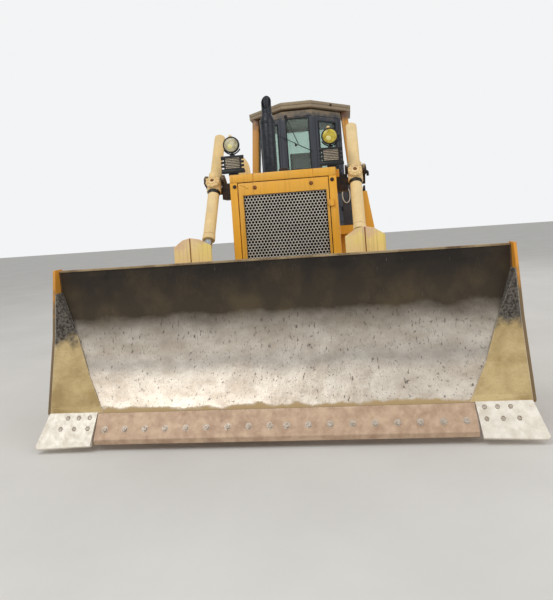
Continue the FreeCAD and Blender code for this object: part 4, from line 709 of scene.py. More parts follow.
@dataclass(frozen=True)
class Pane:
    """Tempered cab glass, faintly green, with a film of dust and dried splashes near its top."""

    title: str = "tempered cab glass"
    tint: str = "#DCF0E9"
    film: float = 0.13
    splash_low: float = 3.27

    def build(self) -> bpy.types.Material:
        """Builds the material's nodes.

        Returns:
            The material.
        """
        material, tree = empty_material(self.title)
        clear = add_node(tree, "BsdfPrincipled", {"Base Color": self.tint, "Roughness": 0.02, "IOR": 1.45,
                                                  "Transmission Weight": 1.0})
        place = add_node(tree, "TexCoord")
        height = add_node(tree, "SeparateXYZ", {0: place.outputs["Object"]})
        high = add_node(tree, "MapRange", {"Value": height.outputs[2], "From Min": self.splash_low,
                                           "From Max": self.splash_low + 0.22})
        splash = add_node(tree, "Math", {0: high.outputs[0], 1: grain(tree, 0.06, 0.46, 0.56)},
                          operation="MULTIPLY")
        film = add_node(tree, "Math", {0: splash.outputs[0], 1: self.film}, operation="MAXIMUM")
        dust = add_node(tree, "BsdfDiffuse", {"Color": "#B4BDB2"})
        mixed = add_node(tree, "MixShader", {0: film.outputs[0], 1: clear.outputs[0], 2: dust.outputs[0]})
        add_node(tree, "OutputMaterial", {0: mixed.outputs[0]})
        return material


@dataclass(frozen=True)
class Coat:
    """A plain finish with faint mottling, for small pieces: rubber, plastic, lens, plating or fabric."""

    title: str
    colour: str
    second: str
    gloss: float = 0.5
    metal: float = 0.0
    size: float = 0.02
    relief: float = 0.15
    glow: float = 0.0

    def build(self) -> bpy.types.Material:
        """Builds the material's nodes.

        Returns:
            The material.
        """
        material, tree = empty_material(self.title)
        base = add_node(tree, "Mix", {0: grain(tree, self.size, 0.35, 0.65), 6: self.colour, 7: self.second},
                        data_type="RGBA")
        skin = add_node(tree, "Bump", {"Strength": self.relief, "Distance": 0.002,
                                       "Height": grain(tree, self.size / 3, 0.3, 0.7)})
        shader = add_node(tree, "BsdfPrincipled", {
            "Base Color": base.outputs[2], "Metallic": self.metal, "Roughness": self.gloss,
            "Emission Color": self.colour, "Emission Strength": self.glow, "Normal": skin.outputs[0]})
        add_node(tree, "OutputMaterial", {0: shader.outputs[0]})
        return material


class Finish(Enum):
    """Every finish on the machine, by the plain name of the real one; a few also carry painted shade or painted
    reflections.
    """

    AMBER = Enamel("amber machine enamel", "#FBB42C", "#F7BB4A", runs=0.22, chips=0.6)
    DOOR = Enamel("faded front enamel", "#F3B136", "#E3AF52", runs=0.35, chips=0.8)
    CREAM = Enamel("faded cream enamel", "#F3CF8B", "#F8DCA4", gloss=0.5, runs=0.15, chips=0.45)
    SHIELD = Enamel("scuffed pale enamel", "#FBE27E", "#F8DCAE", gloss=0.55, runs=0.5, chips=0.8,
                    crown=1.64, crown_colour="#E2BE9C")
    END = Enamel("soiled end plate enamel", "#F0A02C", "#D89638", runs=0.5, chips=0.9, soil_top=1.5,
                 soil="#8C7752", front_soil=1.20)
    OCHRE = Enamel("ochre frame enamel", "#D9972E", "#CB8A2E", runs=0.5, chips=0.7, crown=3.34,
                   crown_colour="#6E4A30")
    # dark below its cream top: partly grease, partly painted shade under the collar and the guard
    YOKE_GREASE_AND_SHADE = RoughMetal("greasy yoke casting with painted shade", "#1D1611", "#3F2A1C", "#7A5B3C", 0.3, 0.2, 0.5, 0.05,
                      crown=2.325, crown_colour="#D8B47C")
    KHAKI = Enamel("dusty roof enamel", "#A39379", "#94836A", gloss=0.7, chips=0.5, dust="#B5A88C")
    CHARCOAL = Enamel("charcoal cab enamel", "#30353F", "#3C424D", gloss=0.38, runs=0.12, chips=0.25,
                      dust="#8D8677", crown=3.40, crown_colour="#8C7B62")
    BLADE = BladeSteel()
    CORNER = RoughMetal("soil-caked corner plate", "#D2BA88", "#AE9463", "#D8D2C6", 0.6, 0.1, 0.85, 0.25,
                        0.8, crown=0.84)
    BIT = RoughMetal("sand-scoured end bit", "#F4EDDF", "#DDD3C2", "#FBF8F2", 0.5, 0.35, 0.5, 0.08, 0.25)
    EDGE = RoughMetal("scuffed cutting edge", "#CFB397", "#B2937A", "#E0D2C2", 0.5, 0.3, 0.6, 0.1, 0.3)
    TRACK = RoughMetal("dusty forged track steel", "#4F463B", "#7A6849", "#8F877B", 0.5, 0.4, 0.72, 0.18)
    SHOE = RoughMetal("soil-worn track shoe", "#5A4F42", "#7F6C4C", "#A59C8F", 0.8, 0.45, 0.66, 0.15)
    WHEEL = RoughMetal("rubbed wheel steel", "#453E36", "#66583F", "#B0A99E", 0.8, 0.5, 0.6, 0.12)
    DRIVE = RoughMetal("dusty drive casting", "#B08432", "#8E7440", "#C9A25A", 0.5, 0.1, 0.75, 0.14, 0.3)
    WELD = RoughMetal("scaly weld bead", "#4A3C2E", "#7B5C3A", "#8F7A5E", 0.4, 0.35, 0.75, 0.02, 0.9)
    LIP = RoughMetal("rubbed top edge", "#A8926E", "#6B5236", "#C9BBA0", 0.5, 0.3, 0.65, 0.2)
    PLOUGH = RoughMetal("scoured plough bolt", "#C8BCAE", "#A08A72", "#E2DCD2", 0.6, 0.5, 0.5, 0.02, 0.2)
    SILL = RoughMetal("bare window sill", "#D9D8D2", "#B9B6AD", "#F0EFEB", 0.6, 0.3, 0.4, 0.1, 0.1)
    IRON = RoughMetal("heat-stained cast iron", "#1B1B1B", "#2B2521", "#4A4540", 0.3, 0.3, 0.6, 0.1)
    GRILLE = RoughMetal("worn zinc-grey perforated sheet", "#B9B4A8", "#CDC8BC", "#DEDAD0", 0.6, 0.25, 0.6,
                        0.09, 0.1)
    CORE = RoughMetal("sooty radiator core", "#0B0B0C", "#151413", "#1E1C1A", 0.2, 0.1, 0.8, 0.05)
    RUST = RoughMetal("rusty bolt steel", "#7A4A2A", "#9A5E30", "#B08358", 0.4, 0.3, 0.8, 0.02)
    DARK_BOLT = RoughMetal("oily bolt steel", "#2A211B", "#4A3426", "#5E5145", 0.4, 0.4, 0.55, 0.02)
    # near-black: grease on the yoke caps, and painted shadow in the band under each collar
    GREASE_AND_SHADOW = RoughMetal("greased black casting with painted shadow", "#14110F", "#241C16", "#3A332D", 0.3, 0.2, 0.4, 0.06)
    CHROME = Coat("hard chrome plating", "#D8D8D8", "#C2C4C6", gloss=0.14, metal=1.0, relief=0.02)
    RUBBER = Coat("moulded rubber", "#16171A", "#202226", gloss=0.65)
    BLACK = Coat("black lamp plastic", "#0E0E10", "#1A1A1C", gloss=0.4)
    SMOKE = RoughMetal("blued black exhaust enamel", "#17191F", "#2B2F38", "#4A4038", 0.4, 0.25, 0.36, 0.05,
                       0.2)
    MAT = Coat("ribbed deck matting", "#232323", "#38342E", gloss=0.85, size=0.05, relief=0.4)
    AMBER_LENS = Coat("dusty lamp reflector", "#8F8270", "#C4B79F", gloss=0.35, metal=0.3, size=0.012)
    # the lamp glass's large pale and dark patches are painted reflections of the reflectors behind it, over the
    # glass's own tint
    PALE_LENS_AND_REFLECTION = Coat("pale lamp glass with painted reflections", "#8F8463", "#E2DDBA", gloss=0.1, size=0.07, glow=0.06)
    YELLOW_LENS_AND_REFLECTION = Coat("yellow lamp glass with painted reflections", "#9C861E", "#E2CE55", gloss=0.1, size=0.07, glow=0.06)
    BULB = Coat("lamp bulb glass", "#CFC67C", "#DDD48E", gloss=0.08, glow=0.12)
    RED_LENS = Coat("red lamp glass", "#7E1A14", "#9A2A20", gloss=0.12)
    SEAT = Coat("woven seat cover", "#2A2B2E", "#3A3B3F", gloss=0.9, size=0.006, relief=0.6)
    GLASS = Pane()


class Palette:
    """Builds each finish once, when a piece first asks for it."""

    def __init__(self) -> None:
        """Starts with no material built."""
        self.built: dict[Finish, bpy.types.Material] = {}

    def get(self, finish: Finish) -> bpy.types.Material:
        """Finds or builds a finish's material.

        Args:
            finish: the finish.

        Returns:
            Its material.
        """
        if finish not in self.built:
            self.built[finish] = finish.value.build()
        return self.built[finish]


PALETTE = Palette()


class Body(Enum):
    """The frame's bodies that several pieces ride on."""

    CHASSIS = "chassis"
    BLADE = "blade"
    GRILLE = "grille"


def mount(piece: bpy.types.Object, finish: Finish, replaces: tuple[str, ...] = (),
          body: str = Body.CHASSIS.value) -> None:
    """Gives a piece its finish and the body that it moves with, and reports it.

    Args:
        piece: the finished mesh.
        finish: its finish, where its parts have none.
        replaces: the frame's nodes that it stands for.
        body: the frame's body that carries it.
    """
    if not piece.data.materials:
        piece.data.materials.append(PALETTE.get(finish))
    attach(piece, body)
    if replaces:
        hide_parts(*replaces)
    LOG.info("%s rides on %s", piece.name, body)


def painted(piece: bpy.types.Object, finish: Finish) -> bpy.types.Object:
    """Gives a part of a piece its finish before it is joined to others.

    Args:
        piece: the part.
        finish: its finish.

    Returns:
        The same part.
    """
    piece.data.materials.clear()
    piece.data.materials.append(PALETTE.get(finish))
    return piece


def bolt_head(name: str, place: Vector, way: Vector, width: float, finish: Finish) -> bpy.types.Object:
    """A hexagon bolt head on its washer.

    Args:
        name: the piece's name.
        place: where the washer sits.
        way: the direction the head looks.
        width: the head's width over its corners.
        finish: its finish.

    Returns:
        The bolt head.
    """
    washer = turned(name + "_washer", place, way, [(-0.002, width * 0.62), (0.003, width * 0.62)], 16)
    head = turned(name, place, way, [(0.002, width * 0.5), (width * 0.34, width * 0.5),
                                     (width * 0.40, width * 0.42)], 6, 20.0)
    return painted(joined(name, [washer, head]), finish)


def bolts(name: str, places: list[Vector], way: Vector, width: float, finish: Finish) -> bpy.types.Object:
    """Several equal bolt heads that look the same way.

    Args:
        name: the joined heads' name.
        places: where each washer sits.
        way: the direction the heads look.
        width: a head's width over its corners.
        finish: their finish.

    Returns:
        The joined heads.
    """
    return repeated(name, bolt_head(name, Vector((0, 0, 0)), way, width, finish),
                    [Matrix.Translation(place) for place in places])


# The frame's own nodes


@dataclass
class FrameNodes:
    """Finishes the frame's own nodes, which keep their shapes."""

    nodes: dict[str, bpy.types.Object]
    rounding: float = 0.006

    def finishes(self) -> dict[str, Finish]:
        """Says which finish each node has.

        Returns:
            Each node's finish by the node's name.
        """
        table = {
            Finish.AMBER: ["main_frame", "blade_back", "push_arms", "radiator_guard", "grille_door",
                           "hood", "cab_base", "side_panels", "decks", "side_tanks",
                           "track_frame_left", "track_frame_right", "final_drives", "fuel_tank", "drawbar",
                           "engine_door_left", "engine_door_right", "arm_brace"],
            Finish.CREAM: ["tilt_cylinder", "lift_barrel_left", "lift_barrel_right", "air_intake"],
            Finish.YOKE_GREASE_AND_SHADE: ["yoke_brackets"],
            Finish.END: ["end_plates"],
            Finish.SHIELD: ["rod_shields"],
            Finish.TRACK: ["track_left", "track_right", "sprockets", "idlers", "rollers_left",
                           "rollers_right"],
            Finish.BLADE: ["moldboard"],
            Finish.CORNER: ["blade_corners"],
            Finish.EDGE: ["cutting_edge"],
            Finish.BIT: ["end_bits"],
            Finish.CHROME: ["lift_rod_left", "lift_rod_right"],
            Finish.CHARCOAL: ["cab_shell", "cab_door_left", "cab_door_right", "console", "service_box"],
            Finish.GLASS: ["cab_glass", "cab_door_glass_left", "cab_door_glass_right"],
            Finish.IRON: ["engine_block"],
            Finish.CORE: ["radiator_core"],
            Finish.SMOKE: ["exhaust"],
            Finish.SEAT: ["seat"],
            Finish.OCHRE: ["roof_frame"],
            Finish.BLACK: ["work_lamps", "round_lamps", "rear_lamps"],
        }
        return {name: finish for finish, names in table.items() for name in names}

    def dress(self) -> None:
        """Gives every node its finish, and rounds the edges of the plain ones."""
        sharp = {"cab_glass", "cab_door_glass_left", "cab_door_glass_right", "moldboard", "seat"}
        for name, finish in self.finishes().items():
            node = self.nodes[name]
            for place in node.material_slots:
                place.material = PALETTE.get(finish)
            if name not in sharp:
                weld = node.modifiers.new("weld", "WELD")
                weld.merge_threshold = 0.0002
                bevel = node.modifiers.new("bevel", "BEVEL")
                bevel.width = self.rounding
                bevel.segments = 2
                bevel.limit_method = "ANGLE"
                bevel.angle_limit = math.radians(32)
        LOG.info("dressed %d frame nodes", len(self.finishes()))


# Radiator guard and its door


@dataclass
class GrilleDoor:
    """The perforated door in the radiator guard, with its frame, latches and hinge leaves."""

    half: float = 0.4825
    low: float = 0.918
    high: float = 2.219
    front: float = -1.423
    depth: float = 0.034
    window_half: float = 0.444
    window_middle: float = 0.012
    window_low: float = 0.985
    window_high: float = 2.085
    pitch: float = 0.035
    sheet: float = 0.004
    latch_x: float = 0.302
    latch_z: float = 2.163
    hinge_x: float = 0.4865
    hinge_y: float = -1.437

    def sheet_cell(self) -> bpy.types.Object:
        """One six-sided cell of the sheet with its round hole.

        Returns:
            The cell.
        """
        bpy.ops.object.select_all(action="DESELECT")
        bpy.ops.mesh.primitive_circle_add(vertices=6, radius=self.pitch / math.sqrt(3), fill_type="NGON",
                                          location=(0, 0, 0))
        cell = titled(bpy.context.object, "sheet_cell")
        bpy.ops.object.mode_set(mode="EDIT")
        bpy.ops.mesh.select_all(action="SELECT")
        bpy.ops.mesh.subdivide(number_cuts=1)
        bpy.ops.mesh.inset(thickness=0.004)
        bpy.ops.transform.tosphere(value=1.0)
        bpy.ops.mesh.delete(type="FACE")
        bpy.ops.object.mode_set(mode="OBJECT")
        return cell

    def perforated_sheet(self) -> bpy.types.Object:
        """The sheet of staggered round holes, cell by cell.

        Returns:
            The sheet in its place.
        """
        cell = self.sheet_cell()
        row = self.pitch * math.sqrt(3) / 2
        columns = int(2 * self.window_half / self.pitch)
        rows = int((self.window_high - self.window_low) / row)
        only(cell)
        array = cell.modifiers.new("across", "ARRAY")
        array.use_relative_offset = False
        array.use_constant_offset = True
        array.constant_offset_displace = (self.pitch, 0.0, 0.0)
        array.count = columns
        bpy.ops.object.modifier_apply(modifier="across")
        places = []
        for i in range(rows):
            shift = (-(columns - 1) / 2 + (0.25 if i % 2 else -0.25)) * self.pitch
            places.append(Matrix.Translation((shift, i * row, 0)))
        sheet = repeated("grille_sheet", cell, places)
        bpy.ops.object.mode_set(mode="EDIT")
        bpy.ops.mesh.select_all(action="SELECT")
        bpy.ops.mesh.remove_doubles(threshold=0.0005)
        bpy.ops.mesh.normals_make_consistent(inside=False)
        bpy.ops.object.mode_set(mode="OBJECT")
        solid = sheet.modifiers.new("thickness", "SOLIDIFY")
        solid.thickness = self.sheet
        solid.offset = 0.0
        bpy.ops.object.modifier_apply(modifier="thickness")
        middle = (self.window_low + self.window_high) / 2 - (rows - 1) * row / 2
        settle(sheet, Matrix.Translation((self.window_middle, self.front + 0.014, middle))
               @ Matrix(Across.Y.value))
        return painted(sheet, Finish.GRILLE)

    def build(self) -> None:
        """Builds the door and mounts it."""
        frame = cut_plate("grille_frame", rectangle(-self.half, self.half, self.low, self.high), Across.Y,
                          self.front, self.front + self.depth,
                          [rectangle(self.window_middle - self.window_half,
                                     self.window_middle + self.window_half, self.window_low,
                                     self.window_high)], 0.003)
        painted(frame, Finish.DOOR)
        leaves = []
        for z in (self.low + 0.24, self.high - 0.31):
            barrel = turned("leaf_barrel", Vector((self.hinge_x, self.hinge_y, z)), UP,
                            [(0.0, 0.010), (0.002, 0.012), (0.068, 0.012), (0.070, 0.010)], 20)
            strap = slab("leaf_strap", (self.hinge_x - 0.024, self.hinge_y + 0.010, z + 0.006),
                         (self.hinge_x - 0.004, self.hinge_y + 0.016, z + 0.064), 0.002)
            leaves += [painted(barrel, Finish.DOOR), painted(strap, Finish.DOOR)]
        scratch = [(-0.462, -1.4215, 2.197), (-0.421, -1.4215, 2.186), (-0.395, -1.4215, 2.160),
                   (-0.369, -1.4215, 2.157)]
        leaves.append(painted(pipe("door_scratch", scratch, 0.0024, 0.012, 1), Finish.DARK_BOLT))
        latches = []
        for x in (-self.latch_x, self.latch_x):
            latches.append(painted(turned("latch", Vector((x, self.front, self.latch_z)), AHEAD,
                                          [(-0.002, 0.021), (0.004, 0.021), (0.007, 0.017), (0.007, 0.010),
                                           (0.013, 0.009)], 24), Finish.RUST))
        door = joined("grille_door_front", [frame, self.perforated_sheet()] + leaves + latches)
        mount(door, Finish.AMBER, ("grille_door",), Body.GRILLE.value)


@dataclass
class GuardTrim:
    """Cover strips on the guard's top band and the bolts on its posts."""

    half: float = 0.5685
    front: float = -1.423
    band_low: float = 2.2275
    band_high: float = 2.313
    seams: tuple[float, float] = (-0.31, 0.33)
    gap: float = 0.004
    proud: float = 0.004
    bolt_z: float = 2.185

    def build(self) -> None:
        """Builds the strips and bolts and mounts them."""
        ends = [-self.half, *self.seams, self.half]
        pieces = [bolt_head("post_bolt", Vector((x, self.front, self.bolt_z)), AHEAD, 0.034, Finish.DARK_BOLT)
                  for x in (-0.518, 0.524)]
        for left, right in zip(ends, ends[1:]):
            strip = slab("band_strip", (left + self.gap / 2, self.front - self.proud, self.band_low),
                         (right - self.gap / 2, self.front + 0.02, self.band_high + 0.002), 0.003)
            pieces.append(painted(strip, Finish.DOOR))
        mount(joined("guard_trim", pieces), Finish.AMBER)


# Lift cylinders


@dataclass
class LiftCylinder:
    """One lift cylinder: barrel with its collar and gland, bright rod and the rod's eye."""

    side: int
    lift_x: float = 0.770
    yoke: tuple[float, float] = (-1.236, 2.281)
    eye: tuple[float, float] = (-2.300, 0.860)
    tube: float = 0.062
    collar: float = 0.078
    gland: float = 0.066
    bar: float = 0.042
    head: float = 0.088
    above: float = 0.676
    below: float = 0.805
    cap_bolts: int = 8
    cap_ring: float = 0.062
    yoke_bolts: int = 6

    @property
    def down(self) -> Vector:
        """The barrel's own direction towards the eye."""
        return Vector((0, self.eye[0] - self.yoke[0], self.eye[1] - self.yoke[1])).normalized()

    def barrel(self) -> None:
        """Builds the barrel and mounts it."""
        yoke = Vector((self.side * self.lift_x, *self.yoke))
        top, low = -self.above, self.below
        tube = self.tube
        profile = [(top, 0.040), (top + 0.004, tube - 0.005), (top + 0.010, tube), (-0.087, tube),
                   (-0.083, self.collar - 0.004), (-0.079, self.collar), (0.159, self.collar),
                   (0.163, self.collar - 0.004), (0.167, tube), (low - 0.060, tube), (low - 0.058, self.gland),
                   (low - 0.004, self.gland), (low, tube), (low, self.bar + 0.001)]
        body = painted(turned("barrel_tube", yoke, self.down, profile, 48), Finish.CREAM)
        seam = painted(turned("barrel_seam", yoke, self.down,
                              [(low - 0.064, 0.0625), (low - 0.062, 0.0640), (low - 0.059, 0.0640)], 48,
                              open_ends=True), Finish.RUST)
        front = Vector((0, self.down.z, -self.down.y))
        boss = yoke + self.down * 0.090
        cap = painted(turned("barrel_cap", boss, front,
                             [(0.05, 0.074), (0.100, 0.074), (0.106, 0.068), (0.106, 0.046),
                              (0.116, 0.042), (0.120, 0.036)], 40), Finish.CREAM)
        # the dark band just under the collar is painted shadow cast by the collar's lower edge, over a little
        # grease
        grime_and_shadow = painted(turned("collar_grime_and_shadow", yoke, self.down,
                                [(0.164, 0.068), (0.172, 0.070), (0.186, 0.066), (0.206, 0.0625)], 48,
                                open_ends=True), Finish.GREASE_AND_SHADOW)
        studs = [seam, grime_and_shadow]
        for i in range(self.cap_bolts):
            turn = 2 * math.pi * (i + 0.5) / self.cap_bolts
            spot = boss + (LEFT * math.cos(turn) + self.down * math.sin(turn)) * self.cap_ring
            studs.append(painted(turned("cap_lobe", spot, front, [(0.08, 0.017), (0.108, 0.017),
                                                                  (0.111, 0.014)], 12), Finish.CREAM))
            studs.append(bolt_head("cap_bolt", spot + front * 0.111, front, 0.020, Finish.CREAM))
        studs.append(bolt_head("cap_centre", boss + front * 0.118, front, 0.034, Finish.RUST))
        behind = yoke - front * (tube + 0.004)
        line = painted(handle("barrel_line", behind + self.down * (top + 0.06), behind + self.down * -0.16,
                              front * -0.035, 0.011, 0.02), Finish.CREAM)
        word = beside(self.side)
        piece = joined("lift_barrel_body_" + word, [body, cap, line] + studs)
        mount(piece, Finish.CREAM, ("lift_barrel_" + word,), "barrel_" + word)

    def rod(self) -> None:
        """Builds the rod and its eye and mounts them."""
        eye = Vector((self.side * self.lift_x, *self.eye))
        bar, wide = self.bar, self.head
        rod = painted(turned("rod_bar", eye, -self.down, [(0.05, bar), (1.498, bar), (1.5, bar - 0.002)], 40),
                      Finish.CHROME)
        head = painted(turned("rod_eye", eye - LEFT * 0.048, LEFT,
                              [(0.0, wide - 0.008), (0.005, wide), (0.091, wide), (0.096, wide - 0.008)], 40),
                       Finish.CREAM)
        neck = painted(turned("rod_neck", eye, -self.down,
                              [(0.06, bar + 0.004), (0.090, bar + 0.004), (0.097, bar)], 32), Finish.CREAM)
        stub = painted(turned("rod_pin", eye - LEFT * 0.051, LEFT,
                              [(0.0, bar - 0.004), (0.002, bar), (0.100, bar), (0.102, bar - 0.004)], 32),
                       Finish.DARK_BOLT)
        word = beside(self.side)
        piece = joined("lift_rod_body_" + word, [rod, head, neck, stub])
        mount(piece, Finish.CHROME, ("lift_rod_" + word,), "rod_" + word)

    def yoke_fittings(self) -> None:
        """Adds the bearing caps and the black hose fitting on the yoke's outer side."""
        centre = Vector((self.side * self.lift_x, *self.yoke))
        out = Vector((self.side, 0, 0))
        cap = painted(turned("yoke_cap", centre + out * 0.105, out,
                             [(0.0, 0.056), (0.008, 0.056), (0.011, 0.050), (0.011, 0.026), (0.018, 0.022)],
                             32), Finish.GREASE_AND_SHADOW)
        pieces = [cap]
        for spot in around(centre + out * 0.115, 0.040, self.yoke_bolts, 0.5):
            pieces.append(bolt_head("yoke_bolt", spot, out, 0.014, Finish.DARK_BOLT))
        if self.side > 0:
            port = centre + out * 0.11 + Vector((0, 0.035, -0.02))
            bend = port + out * 0.025
            pieces.append(painted(pipe("yoke_elbow", [port, bend, bend + Vector((0, 0, -0.05))], 0.014, 0.015),
                                  Finish.BLACK))
        mount(joined("yoke_fittings_" + beside(self.side), pieces), Finish.GREASE_AND_SHADOW)

    def build(self) -> None:
        """Builds all of the cylinder's pieces."""
        self.barrel()
        self.rod()
        self.yoke_fittings()


# Lamps


@dataclass
class WorkLamps:
    """The two slotted rectangular lamps and the two round lamps on the guard's top."""

    lamp_x: float = 0.530
    width: float = 0.250
    height: float = 0.188
    low: float = 2.338
    front: float = -1.400
    depth: float = 0.070
    round_z: float = 2.642
    round_radius: float = 0.086
    guard_top: float = 2.313

    def box_lamp(self, side: int) -> list[bpy.types.Object]:
        """The slotted housing, its ribbed reflector and its foot.

        Args:
            side: 1 for the machine's left, -1 for its right.

        Returns:
            The lamp's parts.
        """
        x0, x1 = side * self.lamp_x - self.width / 2, side * self.lamp_x + self.width / 2
        z0, z1 = self.low, self.low + self.height
        right_edge, left_edge = [(x1, z0)], [(x0, z1)]
        for share in (0.30, 0.52, 0.74):
            low, high = z0 + self.height * share - 0.008, z0 + self.height * share + 0.008
            right_edge += [(x1, low), (x1 - 0.032, low), (x1 - 0.032, high), (x1, high)]
            low, high = z0 + self.height * (1.04 - share) - 0.008, z0 + self.height * (1.04 - share) + 0.008
            left_edge += [(x0, high), (x0 + 0.032, high), (x0 + 0.032, low), (x0, low)]
        window = rectangle(x0 + 0.044, x1 - 0.044, z0 + 0.046, z1 - 0.024)
        face = cut_plate("lamp_face", right_edge + [(x1, z1)] + left_edge + [(x0, z0)], Across.Y, self.front,
                         self.front + 0.018, [window], 0.0025)
        back = slab("lamp_back", (x0 + 0.036, self.front + 0.012, z0 + 0.010),
                    (x1 - 0.036, self.front + self.depth, z1 - 0.006), 0.008)
        tray = slab("lamp_tray", (x0 + 0.004, self.front - 0.010, z0 - 0.002),
                    (x1 + 0.006, self.front + 0.030, z0 + 0.034), 0.004)
        foot = slab("lamp_foot", (side * self.lamp_x - 0.05, self.front + 0.012, self.guard_top - 0.006),
                    (side * self.lamp_x + 0.05, self.front + self.depth - 0.004, z0 + 0.01), 0.004)
        ribs = []
        for i in range(7):
            z = z0 + 0.052 + 0.0175 * i
            rib = slab("lens_rib", (x0 + 0.046, self.front + 0.004, z),
                       (x1 - 0.046, self.front + 0.013, z + 0.010), 0.002)
            ribs.append(painted(rib, Finish.AMBER_LENS))
        dark = [painted(piece, Finish.BLACK) for piece in (face, back, tray, foot)]
        return dark + ribs

    def round_lamp(self, side: int) -> list[bpy.types.Object]:
        """The round lamp with its rim, lens, bulb, stalk, bow and knob.

        Args:
            side: 1 for the machine's left, -1 for its right.

        Returns:
            The lamp's parts.
        """
        centre = Vector((side * self.lamp_x, self.front, self.round_z))
        r = self.round_radius
        shell = painted(turned("lamp_shell", centre, -AHEAD,
                               [(-0.010, r - 0.004), (-0.004, r + 0.004), (0.016, r + 0.004),
                                (0.020, r - 0.004), (0.050, r - 0.010), (0.085, r * 0.62),
                                (0.098, r * 0.30)], 40), Finish.BLACK)
        # the lens's patchy pale and dark colour is painted reflection
        lens_tint_and_reflection = Finish.YELLOW_LENS_AND_REFLECTION if side > 0 else Finish.PALE_LENS_AND_REFLECTION
        lens = painted(turned("lamp_lens", centre, AHEAD,
                              [(0.006, r - 0.008), (0.014, r - 0.016), (0.019, r * 0.55), (0.021, r * 0.2)],
                              40, 60.0), lens_tint_and_reflection)
        top = self.low + self.height
        stalk = painted(turned("lamp_stalk", Vector((side * self.lamp_x, self.front + 0.035, top - 0.004)), UP,
                               [(0, 0.030), (0.014, 0.030), (0.018, 0.018), (0.030, 0.012), (0.060, 0.012)],
                               20), Finish.BLACK)
        loop = []
        for i in range(9):
            turn = math.pi * (1.15 + 0.70 * i / 8)
            loop.append((centre.x + (r + 0.012) * math.cos(turn), self.front + 0.034,
                         centre.z + (r + 0.012) * math.sin(turn)))
        bow = painted(pipe("lamp_bow", loop, 0.007, 0.006), Finish.BLACK)
        knob = painted(turned("lamp_knob", centre + Vector((-0.010, 0.02, r - 0.004)), UP,
                              [(0, 0.016), (0.014, 0.018), (0.026, 0.014), (0.030, 0.006)], 16), Finish.CREAM)
        bulb = painted(turned("lamp_bulb", centre + Vector((-0.012, -0.019, -0.020)), AHEAD,
                              [(0, 0.026), (0.002, 0.024), (0.004, 0.014)], 24, 60.0), Finish.BULB)
        return [shell, lens, stalk, bow, knob, bulb]

    def build(self) -> None:
        """Builds all four lamps and mounts them."""
        boxes, rounds = [], []
        for side in (-1, 1):
            boxes += self.box_lamp(side)
            rounds += self.round_lamp(side)
        mount(joined("work_lamp_bodies", boxes), Finish.BLACK, ("work_lamps",))
        mount(joined("round_lamp_bodies", rounds), Finish.BLACK, ("round_lamps",))


@dataclass
class Exhaust:
    """The black silencer tube with its clamp rings and the open tail pipe, its mouth cut to a slant."""

    x: float = -0.308
    y: float = 0.050
    base: float = 2.313
    fat: float = 0.093
    fat_top: float = 3.160
    thin: float = 0.066
    wall: float = 0.006
    top: float = 3.488
    mouth: float = 0.200

    def tail(self) -> bpy.types.Object:
        """The open tail pipe, lower at the front of its mouth.

        Returns:
            The pipe.
        """
        low = self.fat_top + 0.02
        bpy.ops.object.select_all(action="DESELECT")
        bpy.ops.mesh.primitive_cylinder_add(vertices=48, radius=self.thin, depth=self.top - low + 0.02,
                                            end_fill_type="NOTHING",
                                            location=(self.x, self.y, (self.top + low + 0.02) / 2))
        pipe_wall = titled(bpy.context.object, "exhaust_tail")
        bpy.ops.object.transform_apply(location=True, rotation=False, scale=False)
        bpy.ops.object.mode_set(mode="EDIT")
        bpy.ops.mesh.select_all(action="SELECT")
        bpy.ops.mesh.bisect(plane_co=(self.x, self.y + self.thin, self.top),
                            plane_no=(0, -self.mouth, 2 * self.thin), clear_outer=True)
        bpy.ops.object.mode_set(mode="OBJECT")
        skin = pipe_wall.modifiers.new("wall", "SOLIDIFY")
        skin.thickness = self.wall
        skin.offset = -1.0
        bpy.ops.object.modifier_apply(modifier="wall")
        settle(pipe_wall, Matrix.Identity(4), 40.0)
        return pipe_wall

    def build(self) -> None:
        """Builds the exhaust and mounts it."""
        foot = Vector((self.x, self.y, self.base))
        tall = self.fat_top - self.base
        body = turned("exhaust_tube", foot, UP,
                      [(0.0, self.fat + 0.024), (0.018, self.fat + 0.024), (0.022, self.fat),
                       (tall - 0.02, self.fat), (tall, self.fat - 0.004), (tall + 0.055, self.thin + 0.004),
                       (tall + 0.060, self.thin + 0.001), (tall + 0.075, self.thin + 0.001),
                       (tall + 0.075, self.thin - 0.010)], 48)
        rings = [turned("exhaust_clamp", foot, UP,
                        [(at, self.fat), (at + 0.001, self.fat + 0.007), (at + 0.030, self.fat + 0.007),
                         (at + 0.031, self.fat)], 48) for at in (0.10, tall - 0.06)]
        piece = joined("exhaust_body", [painted(p, Finish.SMOKE) for p in [body, self.tail()] + rings])
        mount(piece, Finish.SMOKE, ("exhaust",))


# Tracks and their wheels


